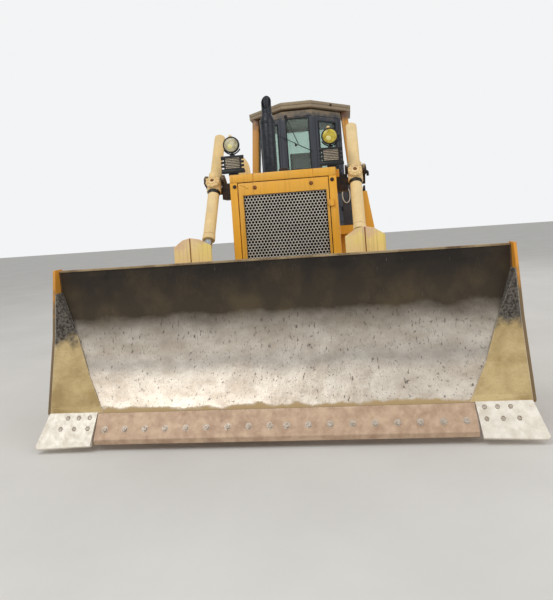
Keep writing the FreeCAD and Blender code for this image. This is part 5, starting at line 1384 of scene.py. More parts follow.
@dataclass
class TrackLoop:
    """Both closed tracks: forged shoes with a grouser and four bolts each, on rails of offset links."""

    half_gauge: float = 1.07
    width: float = 0.56
    count: int = 40
    pin_z: float = 0.145
    sprocket_y: float = 2.0
    sprocket_radius: float = 0.460
    idler_y: float = -1.2
    idler_radius: float = 0.430
    rail: float = 0.095

    @property
    def runs(self) -> tuple[float, float, float, float, float]:
        """The upper run's tilt, then the lengths of the lower, front, upper and rear runs.

        Returns:
            The tilt in radians and four lengths in metres.
        """
        rise = self.sprocket_radius - self.idler_radius
        lower = self.sprocket_y - self.idler_y
        span = math.hypot(lower, rise)
        tilt = math.atan2(rise, lower) + math.asin(rise / span)
        return (tilt, lower, self.idler_radius * (math.pi - tilt), math.sqrt(span ** 2 - rise ** 2),
                self.sprocket_radius * (math.pi + tilt))

    @property
    def pitch(self) -> float:
        """The pin line's length for one link."""
        return sum(self.runs[1:]) / self.count

    def point(self, s: float) -> tuple[float, float]:
        """The point of the pin line at length s from under the sprocket towards the idler.

        Args:
            s: the length, at most the whole loop's.

        Returns:
            The point's Y and Z.
        """
        tilt, lower, front, upper, _ = self.runs
        idler_z, sprocket_z = self.pin_z + self.idler_radius, self.pin_z + self.sprocket_radius
        if s < lower:
            return self.sprocket_y - s, self.pin_z
        if s < lower + front:
            turn = (s - lower) / self.idler_radius
            return (self.idler_y - self.idler_radius * math.sin(turn),
                    idler_z - self.idler_radius * math.cos(turn))
        s -= lower + front
        if s < upper:
            return (self.idler_y - self.idler_radius * math.sin(math.pi - tilt) + s * math.cos(tilt),
                    idler_z - self.idler_radius * math.cos(math.pi - tilt) + s * math.sin(tilt))
        turn = math.pi - tilt + (s - upper) / self.sprocket_radius
        return (self.sprocket_y - self.sprocket_radius * math.sin(turn),
                sprocket_z - self.sprocket_radius * math.cos(turn))

    def places(self) -> list[Matrix]:
        """Each link's place, its own Y along the loop and its own Z outwards.

        Returns:
            One place for each link.
        """
        pins = [self.point(self.pitch * (i + 0.5)) for i in range(self.count)]
        places = []
        for (y0, z0), (y1, z1) in zip(pins, pins[1:] + pins[:1]):
            length = math.hypot(y1 - y0, z1 - z0)
            along, up = (y1 - y0) / length, (z1 - z0) / length
            places.append(Matrix(((1, 0, 0, self.half_gauge), (0, along, -up, (y0 + y1) / 2),
                                  (0, up, along, (z0 + z1) / 2), (0, 0, 0, 1))))
        return places

    def shoe(self) -> bpy.types.Object:
        """One link: the shoe with its bent lips, the bolts, the link plates, the pin and the bushing.

        Returns:
            The link, its middle at the origin.
        """
        half, reach = self.width / 2, self.pitch / 2
        plate = cut_plate("shoe_plate", [
            (-0.109, 0.047), (-0.109, 0.066), (-0.103, 0.078), (-0.088, 0.080), (-0.0775, 0.088),
            (-0.0755, 0.145), (-0.0535, 0.145), (-0.0505, 0.090), (-0.040, 0.080), (0.090, 0.079),
            (0.103, 0.073), (0.110, 0.056), (0.104, 0.050), (0.092, 0.058), (-0.092, 0.058)],
            Across.X, -half, half, bevel=0.0025)
        pieces = [painted(plate, Finish.SHOE)]
        heads = [Vector((x, 0.005, 0.078)) for x in (-0.128, -0.062, 0.062, 0.128)]
        pieces.append(bolts("shoe_bolts", heads, UP, 0.036, Finish.TRACK))
        for side in (-1, 1):
            for near, far, low, high in ((-reach, 0.012, -0.023, -0.001), (reach, -0.012, 0.001, 0.023)):
                sign = 1 if far > near else -1
                outline = [(near + 0.046 * math.cos(t), 0.046 * math.sin(t)) for t in
                           [math.pi / 2 + sign * math.pi * i / 6 for i in range(7)]]
                outline = [(near, 0.052), *outline[1:6], (near + sign * 0.02, -0.058), (far, -0.060),
                           (far, 0.054)]
                low_x, high_x = sorted((side * (self.rail + low), side * (self.rail + high)))
                link = cut_plate("link_plate", outline[::sign], Across.X, low_x, high_x, bevel=0.0015)
                pieces.append(painted(link, Finish.TRACK))
        pieces.append(painted(turned("track_pin", Vector((-0.124, reach, 0)), LEFT,
                                     [(0, 0.019), (0.003, 0.022), (0.245, 0.022), (0.248, 0.019)], 14),
                              Finish.TRACK))
        pieces.append(painted(turned("track_bushing", Vector((-0.070, reach, 0)), LEFT,
                                     [(0, 0.034), (0.140, 0.034)], 14), Finish.TRACK))
        return joined("track_link", pieces)

    def build(self) -> None:
        """Builds one track, mirrors it and mounts both."""
        left = repeated("track_links_left", self.shoe(), self.places())
        right = mirrored("track_links_right", left)
        for side, piece in ((1, left), (-1, right)):
            mount(piece, Finish.TRACK, ("track_" + beside(side),))


@dataclass
class Wheels:
    """Idlers, sprockets and rollers, each turned or cut as the real ones are."""

    half_gauge: float = 1.07
    idler: tuple[float, float] = (-1.2, 0.575)
    sprocket: tuple[float, float] = (2.0, 0.605)
    teeth: int = 25
    tip: float = 0.467
    root: float = 0.421
    roller_z: float = 0.2977
    roller_y: float = -0.7597
    roller_step: float = 0.37161
    rollers: int = 7
    top_rollers: tuple[tuple[float, float], ...] = ((-0.1333, 0.8883), (0.9333, 0.9083))

    def both_ways(self, name: str, y: float, z: float, half: list[tuple[float, float]],
                  sides: int) -> bpy.types.Object:
        """Turns a wheel from one half of its profile, which is mirrored about its middle."""
        profile = half + [(-at, radius) for at, radius in reversed(half)]
        return turned(name, Vector((self.half_gauge, y, z)), LEFT, profile, sides)

    def front_idler(self) -> bpy.types.Object:
        """The dished idler with its polished treads and its middle flange.

        Returns:
            The left idler.
        """
        wheel = self.both_ways("idler_wheel", *self.idler, [
            (-0.138, 0.080), (-0.130, 0.090), (-0.105, 0.115), (-0.045, 0.120), (-0.040, 0.200),
            (-0.050, 0.290), (-0.118, 0.304), (-0.118, 0.350), (-0.112, 0.354), (-0.068, 0.354),
            (-0.062, 0.376), (-0.058, 0.378)], 56)
        return painted(wheel, Finish.WHEEL)

    def rear_sprocket(self) -> bpy.types.Object:
        """The sprocket's ring of rounded teeth, its hub and its bolted cover.

        Returns:
            The left sprocket.
        """
        y, z = self.sprocket
        outline = []
        for i in range(self.teeth):
            for share, radius in ((-0.17, self.tip - 0.006), (-0.10, self.tip), (0.10, self.tip),
                                  (0.17, self.tip - 0.006), (0.30, self.root + 0.010), (0.40, self.root),
                                  (0.60, self.root), (0.70, self.root + 0.010)):
                turn = 2 * math.pi * (i + share) / self.teeth
                outline.append((y - radius * math.sin(turn), z - radius * math.cos(turn)))
        centre = Vector((self.half_gauge, y, z))
        toothed = cut_plate("sprocket_ring", outline, Across.X, centre.x - 0.031, centre.x + 0.031,
                            [ring(y, z, 0.33, 40)], 0.004)
        hub = turned("sprocket_hub", centre - LEFT * 0.02, LEFT, [
            (0.0, 0.345), (0.050, 0.345), (0.060, 0.330), (0.070, 0.262), (0.080, 0.250), (0.190, 0.246),
            (0.198, 0.238), (0.200, 0.160), (0.202, 0.152), (0.250, 0.150), (0.260, 0.138), (0.260, 0.05)], 56)
        return joined("sprocket_wheel", [
            painted(toothed, Finish.WHEEL), painted(hub, Finish.DRIVE),
            bolts("rim_bolts", around(centre + LEFT * 0.031, 0.300, 20), LEFT, 0.034, Finish.DARK_BOLT),
            bolts("cover_bolts", around(centre + LEFT * 0.178, 0.200, 12), LEFT, 0.030, Finish.DARK_BOLT)])

    @property
    def roller_row(self) -> list[float]:
        """Y of each lower roller."""
        return [self.roller_y + self.roller_step * i for i in range(self.rollers)]

    def lower_rollers(self) -> bpy.types.Object:
        """The row of double-flanged lower rollers and the two upper ones.

        Returns:
            The left side's rollers.
        """
        roller = self.both_ways("roller", 0.0, 0.0, [
            (-0.125, 0.060), (-0.125, 0.104), (-0.120, 0.106), (-0.119, 0.0924), (-0.071, 0.0924),
            (-0.068, 0.106), (-0.056, 0.106), (-0.050, 0.085)], 28)
        row = repeated("lower_rollers", roller, [Matrix.Translation((0, y, self.roller_z))
                                                 for y in self.roller_row])
        tops = [self.both_ways("top_roller", y, z, [
            (-0.125, 0.045), (-0.125, 0.088), (-0.119, 0.090), (-0.118, 0.081), (-0.070, 0.081),
            (-0.066, 0.070)], 28) for y, z in self.top_rollers]
        return painted(joined("rollers", [row] + tops), Finish.WHEEL)

    def build(self) -> None:
        """Builds the left side's wheels, mirrors them and mounts all."""
        for name, piece in (("idlers", self.front_idler()), ("sprockets", self.rear_sprocket())):
            other = mirrored(piece.name + "_right", piece)
            mount(joined(name + "_wheels", [piece, other]), Finish.WHEEL, (name,))
        left = self.lower_rollers()
        right = mirrored("rollers_row_right", left)
        mount(titled(left, "rollers_row_left"), Finish.WHEEL, ("rollers_left",))
        mount(right, Finish.WHEEL, ("rollers_right",))


@dataclass
class RunningGear:
    """Bolts and covers on the track frames and the push arms' pivots."""

    beam_x: float = 1.226
    bolt_z: float = 0.345
    cover_y: tuple[float, float] = (-0.55, 0.25)
    cover_z: tuple[float, float] = (0.475, 0.625)
    trunnion: tuple[float, float] = (0.650, 0.450)
    trunnion_x: float = 1.592

    def build(self) -> None:
        """Builds the left side's pieces, mirrors them and mounts all."""
        guard_bolts = [Vector((self.beam_x, y + d, self.bolt_z)) for y in Wheels().roller_row
                       for d in (-0.05, 0.05)]
        pieces = [bolts("roller_bolts", guard_bolts, LEFT, 0.030, Finish.DARK_BOLT)]
        cover = cut_plate("recoil_cover", rectangle(*self.cover_y, *self.cover_z), Across.X,
                          self.beam_x - 0.001, self.beam_x + 0.010, bevel=0.003)
        pieces.append(painted(cover, Finish.AMBER))
        rim = [Vector((self.beam_x + 0.010, y, z)) for y in (-0.52, -0.28, -0.02, 0.22)
               for z in (0.495, 0.605)]
        pieces.append(bolts("cover_bolts", rim, LEFT, 0.028, Finish.DARK_BOLT))
        centre = Vector((self.trunnion_x, *self.trunnion))
        cap = turned("trunnion_cap", centre - LEFT * 0.004, LEFT,
                     [(0.0, 0.090), (0.010, 0.090), (0.013, 0.086), (0.013, 0.040), (0.020, 0.034)], 32)
        pieces.append(painted(cap, Finish.AMBER))
        pieces.append(bolts("cap_bolts", around(centre + LEFT * 0.009, 0.066, 6, 0.5), LEFT, 0.028,
                            Finish.OCHRE))
        left = joined("running_gear_left", pieces)
        both = joined("running_gear", [left, mirrored("running_gear_right", left)])
        mount(both, Finish.AMBER)


# Blade


@dataclass
class BladeTrim:
    """Lip, edge bolts, weld beads and plough bolts of the blade, and the push arms' cap bolts."""

    skin_half: float = 1.959
    low: tuple[float, float] = (-2.850, 0.263)
    top: tuple[float, float] = (-2.550, 1.463)
    lean: float = math.radians(33.0)
    centre: tuple[float, float] = (-4.0788, 1.2077)
    radius: float = 1.55
    trunnion: tuple[float, float] = (0.650, 0.450)
    arm_x: float = 1.561
    foot_half: float = 1.46
    bead_rows: tuple[float, float, int] = (1.275, 0.02, 10)
    edge_bolts: int = 9
    bit_rows: tuple[tuple[float, float, float], ...] = ((0.037, 1.587, 0.095), (0.125, 1.589, 0.118))

    def face(self, z: float) -> float:
        """Y of the moldboard's face at a height."""
        return self.centre[0] + math.sqrt(self.radius ** 2 - (z - self.centre[1]) ** 2)

    def on_edge(self, x: float, along: float, out: float) -> Vector:
        """A point down the cutting edge from its top and out from its seat."""
        return Vector((x, self.low[0] - along * math.sin(self.lean) - out * math.cos(self.lean),
                       self.low[1] - along * math.cos(self.lean) + out * math.sin(self.lean)))

    def beads(self) -> bpy.types.Object:
        """Weld beads along the end plates and over the cutting edge.

        Returns:
            The joined beads.
        """
        runs = []
        for side in (-1, 1):
            x = side * (self.skin_half - 0.004)
            first, step, count = self.bead_rows
            rows = [first + step * i for i in range(count)]
            runs.append(pipe("end_bead", [(x, self.face(z) - 0.003, z) for z in rows], 0.006, 0.004, 1))
        runs.append(pipe("foot_bead", [(x, self.low[0] - 0.001, self.low[1] + 0.002)
                                       for x in (-self.foot_half, 0.0, self.foot_half)], 0.007, 0.02, 1))
        return painted(joined("weld_beads", runs), Finish.WELD)

    def build(self) -> None:
        """Builds the pieces and mounts them."""
        way = Vector((0, -math.cos(self.lean), math.sin(self.lean)))
        lip = painted(slab("top_lip", (-1.955, self.top[0] - 0.006, 1.452), (1.955, self.top[0] + 0.030, 1.470),
                           0.003), Finish.LIP)
        heads = [self.on_edge(side * (0.067 + 0.1718 * k), 0.134, 0.030) for k in range(self.edge_bolts)
                 for side in (-1, 1)]
        edge = bolts("edge_bolts", heads, way, 0.042, Finish.PLOUGH)
        bits = []
        for along, first, pitch in self.bit_rows:
            for i in range(3):
                for side in (-1, 1):
                    bits.append(self.on_edge(side * (first + pitch * i), along, 0.026))
        sunk = bolts("bit_bolts", bits, way, 0.027, Finish.PLOUGH)
        mount(joined("blade_trim", [lip, edge, sunk, self.beads()]), Finish.LIP,
              body=Body.BLADE.value)
        caps = bolts("arm_cap_bolts", around(Vector((self.arm_x, *self.trunnion)), 0.128, 8, 0.5),
                     LEFT, 0.030, Finish.OCHRE)
        pad = painted(slab("arm_pad", (self.arm_x - 0.001, -1.90, 0.40), (self.arm_x + 0.007, -1.60, 0.50),
                           0.002), Finish.AMBER)
        ridge = painted(slab("shield_ridge", (0.795, -2.304, 1.38), (0.805, -2.296, 1.676), 0.003),
                        Finish.RUST)
        left = joined("arm_trim_left", [caps, pad, ridge])
        both = joined("arm_trim", [left, mirrored("arm_trim_right", left)])
        mount(both, Finish.AMBER, body=Body.BLADE.value)


# Cab and roof frame


def turned_wall(piece: bpy.types.Object, corner: tuple[float, float], along: Vector) -> bpy.types.Object:
    """Moves a plate drawn along X to a wall that runs along another level direction.

    Args:
        piece: the plate, its u from the corner along X.
        corner: the wall's corner in plan.
        along: the wall's direction, of unit length.

    Returns:
        The same piece.
    """
    piece.data.transform(Matrix(((along.x, -along.y, 0, corner[0]), (along.y, along.x, 0, corner[1]),
                                 (0, 0, 1, 0), (0, 0, 0, 1))))
    return piece


@dataclass
class CabTrim:
    """Window seals, wipers, sill, vents and the doors' handles of the six-sided cab."""

    front_y: float = 1.190
    corner: tuple[float, float] = (0.226, 1.190)
    side_corner: tuple[float, float] = (0.655, 1.690)
    pane_low: float = 2.260
    pane_high: float = 3.350
    wiper_radius: float = 0.0055
    rubber_length: float = 0.30

    @property
    def along(self) -> Vector:
        """The slanted wall's direction from its front corner."""
        return Vector((self.side_corner[0] - self.corner[0], self.side_corner[1] - self.corner[1],
                       0)).normalized()

    def seal(self, name: str, u0: float, u1: float, v0: float, v1: float, across: Across, low: float,
             high: float, lap: float = 0.020) -> bpy.types.Object:
        """A rubber seal round a window, lapping its edge on both sides.

        Args:
            name: the seal's name.
            u0, u1, v0, v1: the window's edges in the wall's plane.
            across: the axis of its thickness.
            low, high: where its thickness begins and ends.
            lap: how far it laps the wall.

        Returns:
            The seal.
        """
        return painted(cut_plate(name, rectangle(u0 - lap, u1 + lap, v0 - lap, v1 + lap), across, low, high,
                                 [rectangle(u0 + 0.004, u1 - 0.004, v0 + 0.004, v1 - 0.004)], 0.003),
                       Finish.RUBBER)

    def wipers(self) -> list[bpy.types.Object]:
        """Two parked wipers with their arms, blades and a clamp.

        Returns:
            Their parts.
        """
        y = self.front_y - 0.022
        pieces = []
        for name, start, end in (("short", Vector((-0.170, y, 3.390)), Vector((-0.002, y, 2.960))),
                                 ("long", Vector((-0.300, y, 3.110)), Vector((0.200, y, 2.835)))):
            arm = pipe("wiper_arm_" + name, [start, end], self.wiper_radius, sides=2)
            pieces.append(painted(arm, Finish.BLACK))
            tip = end + Vector((0, 0.012, 0))
            heel = tip - (end - start).normalized() * self.rubber_length
            pieces.append(painted(pipe("wiper_blade_" + name, [heel, tip], 0.007, sides=1), Finish.RUBBER))
        pieces.append(painted(slab("wiper_clamp", (-0.056, y - 0.010, 2.925), (-0.026, y + 0.016, 2.962),
                                   0.003), Finish.BLACK))
        pieces.append(painted(turned("wiper_hub", Vector((-0.170, self.front_y, 3.390)), AHEAD,
                                     [(-0.002, 0.024), (0.016, 0.024), (0.030, 0.014)], 20), Finish.BLACK))
        return pieces

    def doors(self) -> None:
        """The slanted doors' seals, latches, grips and rails."""
        pieces = [self.seal("door_seal", 0.1515, 0.5205, 2.202, 3.292, Across.Y, -0.006, 0.004, 0.022)]
        grip = handle("door_grip", Vector((0.118, -0.002, 2.43)), Vector((0.118, -0.002, 2.57)),
                      Vector((0, -0.040, 0)), 0.009, 0.02)
        pieces.append(painted(grip, Finish.BLACK))
        pieces.append(painted(slab("door_latch", (0.098, -0.010, 2.36), (0.138, 0.0, 2.405), 0.004),
                              Finish.BLACK))
        rail = handle("door_rail", Vector((0.20, -0.002, 1.98)), Vector((0.48, -0.002, 1.98)),
                      Vector((0, -0.036, 0)), 0.010, 0.03)
        pieces.append(painted(rail, Finish.BLACK))
        left = turned_wall(joined("cab_door_trim_left", pieces), self.corner, self.along)
        right = mirrored("cab_door_trim_right", left)
        for side, piece in ((1, left), (-1, right)):
            mount(piece, Finish.RUBBER, body="cab_door_" + beside(side))

    def build(self) -> None:
        """Builds the trim and mounts it."""
        low, high, y = self.pane_low, self.pane_high, self.front_y
        pieces = [self.seal("front_seal", -0.168, 0.168, 2.575, high, Across.Y, y - 0.006, y + 0.004, 0.014),
                  self.seal("rear_seal", -0.539, 0.539, low, high, Across.Y, 2.436, 2.446)]
        for side in (-1, 1):
            inner, outer = sorted((side * 0.651, side * 0.661))
            pieces.append(self.seal("side_seal", 1.806, 2.324, low, high, Across.X, inner, outer))
        sill = slab("front_sill", (-0.200, y - 0.014, 2.546), (0.200, y + 0.002, 2.560), 0.003)
        drip = slab("drip_rail", (-0.215, y - 0.012, 3.378), (0.215, y + 0.002, 3.390), 0.003)
        vents = [painted(slab("vent_bar", (-0.13, y - 0.006, z), (0.13, y + 0.002, z + 0.012), 0.002),
                         Finish.BLACK) for z in (2.42, 2.45, 2.48)]
        pieces += [painted(sill, Finish.SILL), painted(drip, Finish.CHARCOAL), *vents, *self.wipers()]
        mount(joined("cab_trim", pieces), Finish.RUBBER)
        self.doors()


@dataclass
class RoofFrame:
    """The dusty roof plate on its two leaning posts with their bolted feet."""

    low: float = 3.500
    high: float = 3.600
    foot: float = 1.300
    foot_x: tuple[float, float] = (0.815, 0.925)
    post_y: tuple[float, float] = (1.735, 1.965)
    head_shift: float = -0.153
    foot_top: float = 1.340
    lens_half: float = 0.027

    def outline(self, inset: float) -> list[tuple[float, float]]:
        """The roof's plan, drawn in by an inset.

        Args:
            inset: the inset in metres.

        Returns:
            The plan's corners.
        """
        half = [(0.231 - inset * 0.4, 1.130 + inset), (0.829 - inset, 1.797 + inset * 0.4),
                (0.829 - inset, 2.440), (0.560, 2.640 - inset)]
        return half + [(-x, y) for x, y in reversed(half)]

    def plate(self) -> list[bpy.types.Object]:
        """The roof's folded plate with its gutter line and its raised middle.

        Returns:
            The plate's parts.
        """
        top = cut_plate("roof_top", self.outline(0.0), Across.Z, self.high - 0.050, self.high, bevel=0.010)
        seam = cut_plate("roof_seam", self.outline(0.010), Across.Z, self.high - 0.058, self.high - 0.042,
                         bevel=0.002)
        low = cut_plate("roof_low", self.outline(0.003), Across.Z, self.low, self.high - 0.054, bevel=0.006)
        pad = cut_plate("roof_pad", self.outline(0.15), Across.Z, self.high - 0.012, self.high - 0.001,
                        bevel=0.002)
        return [painted(piece, Finish.KHAKI) for piece in (top, seam, low, pad)]

    def post(self) -> list[bpy.types.Object]:
        """The left post, its foot plate, bolts and grab bar.

        Returns:
            The post's parts.
        """
        lean = self.head_shift / (self.low - self.foot)
        (x0, x1), (y0, y1) = self.foot_x, self.post_y
        post = slab("post", (x0, y0, self.foot), (x1, y1, self.low + 0.01), 0.014, 3)
        post.data.transform(Matrix(((1, 0, lean, -lean * self.foot), (0, 1, 0, 0), (0, 0, 1, 0),
                                    (0, 0, 0, 1))))
        plate = slab("post_foot", (x0 - 0.026, y0 - 0.026, self.foot), (x1 + 0.026, y1 + 0.026, self.foot_top),
                     0.004)
        feet = [Vector((x, y, self.foot_top)) for x in (0.801, 0.939) for y in (1.722, 1.850, 1.978)]
        grab = handle("post_grab", Vector((0.860, 1.968, 1.70)), Vector((0.788, 1.968, 2.62)),
                      Vector((0, 0.042, 0)), 0.014, 0.03)
        return [painted(post, Finish.OCHRE), painted(plate, Finish.OCHRE),
                bolts("foot_bolts", feet, UP, 0.034, Finish.DARK_BOLT),
                painted(grab, Finish.BLACK)]

    def lenses(self) -> list[bpy.types.Object]:
        """The left rear lamp's red and clear lenses.

        Returns:
            The two lenses.
        """
        pieces = []
        for x, finish in ((0.460, Finish.RED_LENS), (0.400, Finish.PALE_LENS_AND_REFLECTION)):
            lens = slab("rear_lens", (x - self.lens_half, 2.697, 3.522), (x + self.lens_half, 2.708, 3.578),
                        0.004)
            pieces.append(painted(lens, finish))
        return pieces

    def build(self) -> None:
        """Builds the frame and mounts it."""
        left = joined("post_left", self.post() + self.lenses())
        right = mirrored("post_right", left)
        nut = bolt_head("fascia_bolt", Vector((0.52, 1.452, 3.56)), Vector((0.745, -0.667, 0)), 0.034,
                        Finish.DARK_BOLT)
        mount(joined("roof_assembly", self.plate() + [left, right, nut]), Finish.KHAKI,
              ("roof_frame",))


# Hood, tanks, decks and the operator's place


@dataclass
class BodyTrim:
    """Handles, seams, caps, mats and straps over hood, tanks and decks."""

    door_x: float = 0.504
    door_y: float = 0.125
    latch_z: tuple[float, float] = (1.50, 2.02)
    grip_z: tuple[float, float] = (1.70, 1.84)
    cap_x: float = 0.93
    rail_x: float = 0.975
    rail_y: tuple[float, float] = (2.05, 2.55)
    deck_x: tuple[float, float] = (0.300, 1.040)
    strap_x: float = 0.36
    step_z: tuple[float, ...] = (1.14, 1.40, 1.66)

    def hood_pieces(self) -> list[bpy.types.Object]:
        """Seam strips, the radiator's cap, the pale guard beside the hood and the service box's hoop.

        Returns:
            The pieces round the hood.
        """
        strips = [painted(slab("hood_seam", (-0.40, y, 2.311), (0.40, y + 0.030, 2.317), 0.002), Finish.AMBER)
                  for y in (-0.93, 0.30, 1.02)]
        cap = painted(turned("radiator_cap", Vector((0.0, -1.21, 2.309)), UP,
                             [(0, 0.075), (0.012, 0.075), (0.016, 0.055), (0.050, 0.053), (0.056, 0.045)], 28),
                      Finish.DARK_BOLT)
        rim = [(-0.482, 2.215), (-0.482, 2.409), (-0.485, 2.455), (-0.496, 2.510), (-0.515, 2.555),
               (-0.545, 2.594), (-0.575, 2.608), (-0.640, 2.612), (-0.655, 2.600), (-0.655, 2.215)]
        curved = painted(cut_plate("pale_guard", rim, Across.Y, -0.562, -0.540, bevel=0.004), Finish.CREAM)
        stay = painted(slab("guard_stay", (-0.640, -0.545, 2.200), (-0.560, -0.440, 2.216), 0.003),
                       Finish.CREAM)
        foot = painted(slab("guard_foot", (-0.560, -0.560, 2.190), (-0.440, -0.480, 2.230), 0.004),
                       Finish.AMBER)
        turns = [2 * math.pi * i / 16 for i in range(17)]
        hoop = painted(pipe("grey_hoop", [(0.664 + 0.052 * math.cos(t), 0.322, 2.086 + 0.105 * math.sin(t))
                                          for t in turns], 0.008, 0.006, 2), Finish.GRILLE)
        holds = [painted(slab("hoop_hold", (0.690, 0.320, z - 0.012), (0.716, 0.344, z + 0.012), 0.003),
                         Finish.BLACK) for z in (2.040, 2.130)]
        lug = painted(slab("guard_lug", (0.566, -1.30, 2.215), (0.602, -1.22, 2.300), 0.006), Finish.AMBER)
        return strips + [cap, curved, stay, foot, hoop, lug] + holds

    def tank_pieces(self) -> list[bpy.types.Object]:
        """Caps, straps, hand rails and the steps on the tanks and decks.

        Returns:
            The pieces on tanks and decks.
        """
        pieces = []
        for side in (-1, 1):
            cap = turned("tank_cap", Vector((side * self.cap_x, 2.14, 2.208)), UP,
                         [(0, 0.058), (0.020, 0.058), (0.026, 0.050), (0.038, 0.048), (0.040, 0.020)], 24)
            pieces.append(painted(cap, Finish.DARK_BOLT))
            front, rear = (Vector((side * self.rail_x, y, 2.20)) for y in self.rail_y)
            rail = handle("tank_rail", front, rear, Vector((0, 0, 0.10)), 0.014, 0.05)
            pieces.append(painted(rail, Finish.BLACK))
            low, high = sorted(side * x for x in self.deck_x)
            mat = slab("deck_mat", (low, 1.560, 1.299), (high, 1.690, 1.306), 0.002)
            pieces.append(painted(mat, Finish.MAT))
            ribs = [painted(slab("mat_rib", (low, 1.575 + 0.025 * i, 1.304), (high, 1.583 + 0.025 * i, 1.310),
                                 0.001, 1), Finish.MAT) for i in range(5)]
            pieces += ribs
        for x in (-self.strap_x, self.strap_x):
            strap = pipe("tank_strap", [(x, 2.500, 2.184), (x, 2.664, 2.184), (x, 2.793, 1.808),
                                        (x, 2.793, 1.082), (x, 2.674, 0.958)], 0.012, 0.02, 1)
            pieces.append(painted(strap, Finish.OCHRE))
        filler = turned("filler_cap", Vector((0.366, 2.560, 2.238)), UP,
                        [(0, 0.066), (0.016, 0.066), (0.022, 0.060), (0.034, 0.058), (0.036, 0.022)], 28)
        pieces.append(painted(filler, Finish.DARK_BOLT))
        for z in self.step_z:
            step = handle("tank_step", Vector((-0.20, 2.78, z)), Vector((0.06, 2.78, z)),
                          Vector((0, 0.06, 0)), 0.013, 0.03)
            pieces.append(painted(step, Finish.BLACK))
        return pieces

    def door_pieces(self, side: int) -> bpy.types.Object:
        """An engine door's two latches and its grab handle.

        Args:
            side: 1 for the machine's left, -1 for its right.

        Returns:
            The joined pieces.
        """
        out = Vector((side, 0, 0))
        x, y = side * self.door_x, self.door_y
        pieces = []
        for z in self.latch_z:
            pieces.append(painted(turned("door_latch", Vector((x, y, z)), out,
                                         [(0, 0.026), (0.005, 0.026), (0.008, 0.020), (0.012, 0.018)], 20),
                                  Finish.DARK_BOLT))
            bar = slab("latch_bar", (x + side * 0.011 - 0.005, y - 0.017, z - 0.006),
                       (x + side * 0.011 + 0.005, y + 0.017, z + 0.006), 0.002)
            pieces.append(painted(bar, Finish.BLACK))
        low, high = (Vector((x, y, z)) for z in self.grip_z)
        pieces.append(painted(handle("door_grip", low, high, out * 0.036, 0.009, 0.02), Finish.BLACK))
        return joined("engine_door_trim_" + beside(side), pieces)

    def cab_inside(self) -> list[bpy.types.Object]:
        """The seat's cushions, the levers' knobs and the dash's round gauges.

        Returns:
            The pieces in the cab.
        """
        pad = slab("seat_pad", (-0.225, 1.755, 2.130), (0.225, 2.100, 2.170), 0.018, 4)
        pieces = [painted(pad, Finish.SEAT)]
        for x in (-0.380, 0.380):
            pieces.append(painted(turned("lever_knob", Vector((x, 1.760, 2.470)), UP,
                                         [(0, 0.020), (0.010, 0.027), (0.034, 0.030), (0.050, 0.022),
                                          (0.056, 0.010)], 20, 60.0), Finish.BLACK))
        for x in (-0.080, 0.0, 0.080):
            place = Vector((x, 1.400, 2.668))
            gauge = turned("gauge", place, UP, [(0, 0.030), (0.010, 0.030), (0.012, 0.026)], 20)
            dial = turned("gauge_dial", place + UP * 0.010, UP, [(0, 0.024), (0.003, 0.024)], 20)
            pieces += [painted(gauge, Finish.BLACK), painted(dial, Finish.PALE_LENS_AND_REFLECTION)]
        return pieces

    def build(self) -> None:
        """Builds the trim and mounts it."""
        mount(joined("body_trim", self.hood_pieces() + self.tank_pieces()), Finish.AMBER)
        mount(joined("operator_trim", self.cab_inside()), Finish.SEAT)
        for side in (-1, 1):
            mount(self.door_pieces(side), Finish.DARK_BOLT, body="engine_door_" + beside(side))


# Studio


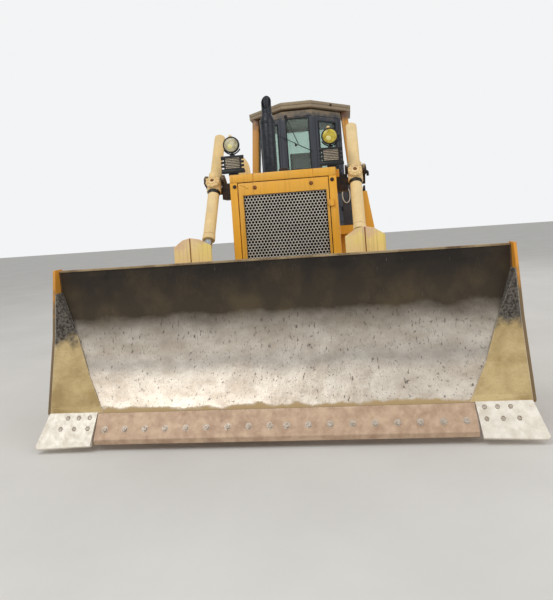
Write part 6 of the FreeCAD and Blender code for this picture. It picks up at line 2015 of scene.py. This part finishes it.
@dataclass
class Studio:
    """A pale floor, soft light as from an overcast sky, and the camera."""

    eye: tuple[float, float, float] = (0.646, -7.287, 1.744)
    yaw: float = -0.126
    pitch: float = -0.002
    roll: float = -0.070
    focal: float = 556.06
    long_side: float = 600.0
    centre_rise: float = 73.56
    sensor: float = 36.0
    floor_half: float = 60.0

    def camera(self) -> None:
        """Places the camera where the portrait was taken from."""
        forward = Vector((math.sin(self.yaw) * math.cos(self.pitch),
                          math.cos(self.yaw) * math.cos(self.pitch), math.sin(self.pitch)))
        right = Vector((math.cos(self.yaw), -math.sin(self.yaw), 0))
        up = right.cross(forward)
        turned_right = right * math.cos(self.roll) + up * math.sin(self.roll)
        turned_up = -right * math.sin(self.roll) + up * math.cos(self.roll)
        data = bpy.data.cameras.new("camera")
        data.sensor_width = self.sensor
        data.sensor_fit = "AUTO"
        data.lens = self.focal / self.long_side * self.sensor
        data.shift_y = -self.centre_rise / self.long_side
        data.clip_end = 500.0
        camera = bpy.data.objects.new("camera", data)
        bpy.context.collection.objects.link(camera)
        camera.matrix_world = Matrix.Translation(self.eye) @ Matrix(
            (turned_right, turned_up, -forward)).transposed().to_4x4()
        bpy.context.scene.camera = camera

    def floor(self) -> None:
        """Lays the pale floor, a little rough."""
        bpy.ops.object.select_all(action="DESELECT")
        bpy.ops.mesh.primitive_plane_add(size=2 * self.floor_half, location=(0, 0, 0))
        floor = titled(bpy.context.object, "floor")
        material, tree = empty_material("pale studio floor")
        tone = add_node(tree, "Mix", {0: grain(tree, 1.5, 0.3, 0.7), 6: "#D5D2CC", 7: "#DEDBD6"},
                        data_type="RGBA")
        shader = add_node(tree, "BsdfPrincipled", {"Base Color": tone.outputs[2], "Roughness": 0.9})
        add_node(tree, "OutputMaterial", {0: shader.outputs[0]})
        floor.data.materials.append(material)

    def light(self) -> None:
        """Lights the scene as a bright overcast day does."""
        world = bpy.data.worlds.new("overcast")
        bpy.context.scene.world = world
        world.use_nodes = True
        tree = world.node_tree
        tree.nodes.clear()
        seen = add_node(tree, "LightPath")
        straight = add_node(tree, "Math", {0: seen.outputs["Is Camera Ray"],
                                           1: seen.outputs["Is Transmission Ray"]}, operation="MAXIMUM")
        sky = add_node(tree, "Background", {"Color": "#F4F6F8", "Strength": 0.62})
        backdrop = add_node(tree, "Background", {"Color": "#F3F4F5", "Strength": 1.0})
        mixed = add_node(tree, "MixShader", {0: straight.outputs[0], 1: sky.outputs[0], 2: backdrop.outputs[0]})
        add_node(tree, "OutputWorld", {0: mixed.outputs[0]})
        for name, place, power, size in (("key", (-4.0, -8.0, 9.0), 420.0, 6.0),
                                         ("fill", (7.0, -6.0, 6.0), 180.0, 6.0),
                                         ("back", (2.0, 9.0, 9.0), 260.0, 7.0)):
            data = bpy.data.lights.new(name, "AREA")
            data.energy = power
            data.size = size
            lamp = bpy.data.objects.new(name, data)
            bpy.context.collection.objects.link(lamp)
            lamp.matrix_world = towards(Vector(place), Vector(place) - Vector((0, 0, 1.2)))

    def build(self) -> None:
        """Sets up camera, floor and light."""
        bpy.context.scene.view_settings.view_transform = "Standard"
        self.camera()
        self.floor()
        self.light()


def main() -> None:
    """Builds the whole scene around the frame."""
    logging.basicConfig(level=logging.INFO, format="%(message)s")
    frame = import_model()
    Studio().build()
    FrameNodes(frame["nodes"]).dress()
    GrilleDoor().build()
    GuardTrim().build()
    for side in (-1, 1):
        LiftCylinder(side).build()
    WorkLamps().build()
    Exhaust().build()
    TrackLoop().build()
    Wheels().build()
    RunningGear().build()
    BladeTrim().build()
    CabTrim().build()
    RoofFrame().build()
    BodyTrim().build()


if __name__ == "__main__":
    main()
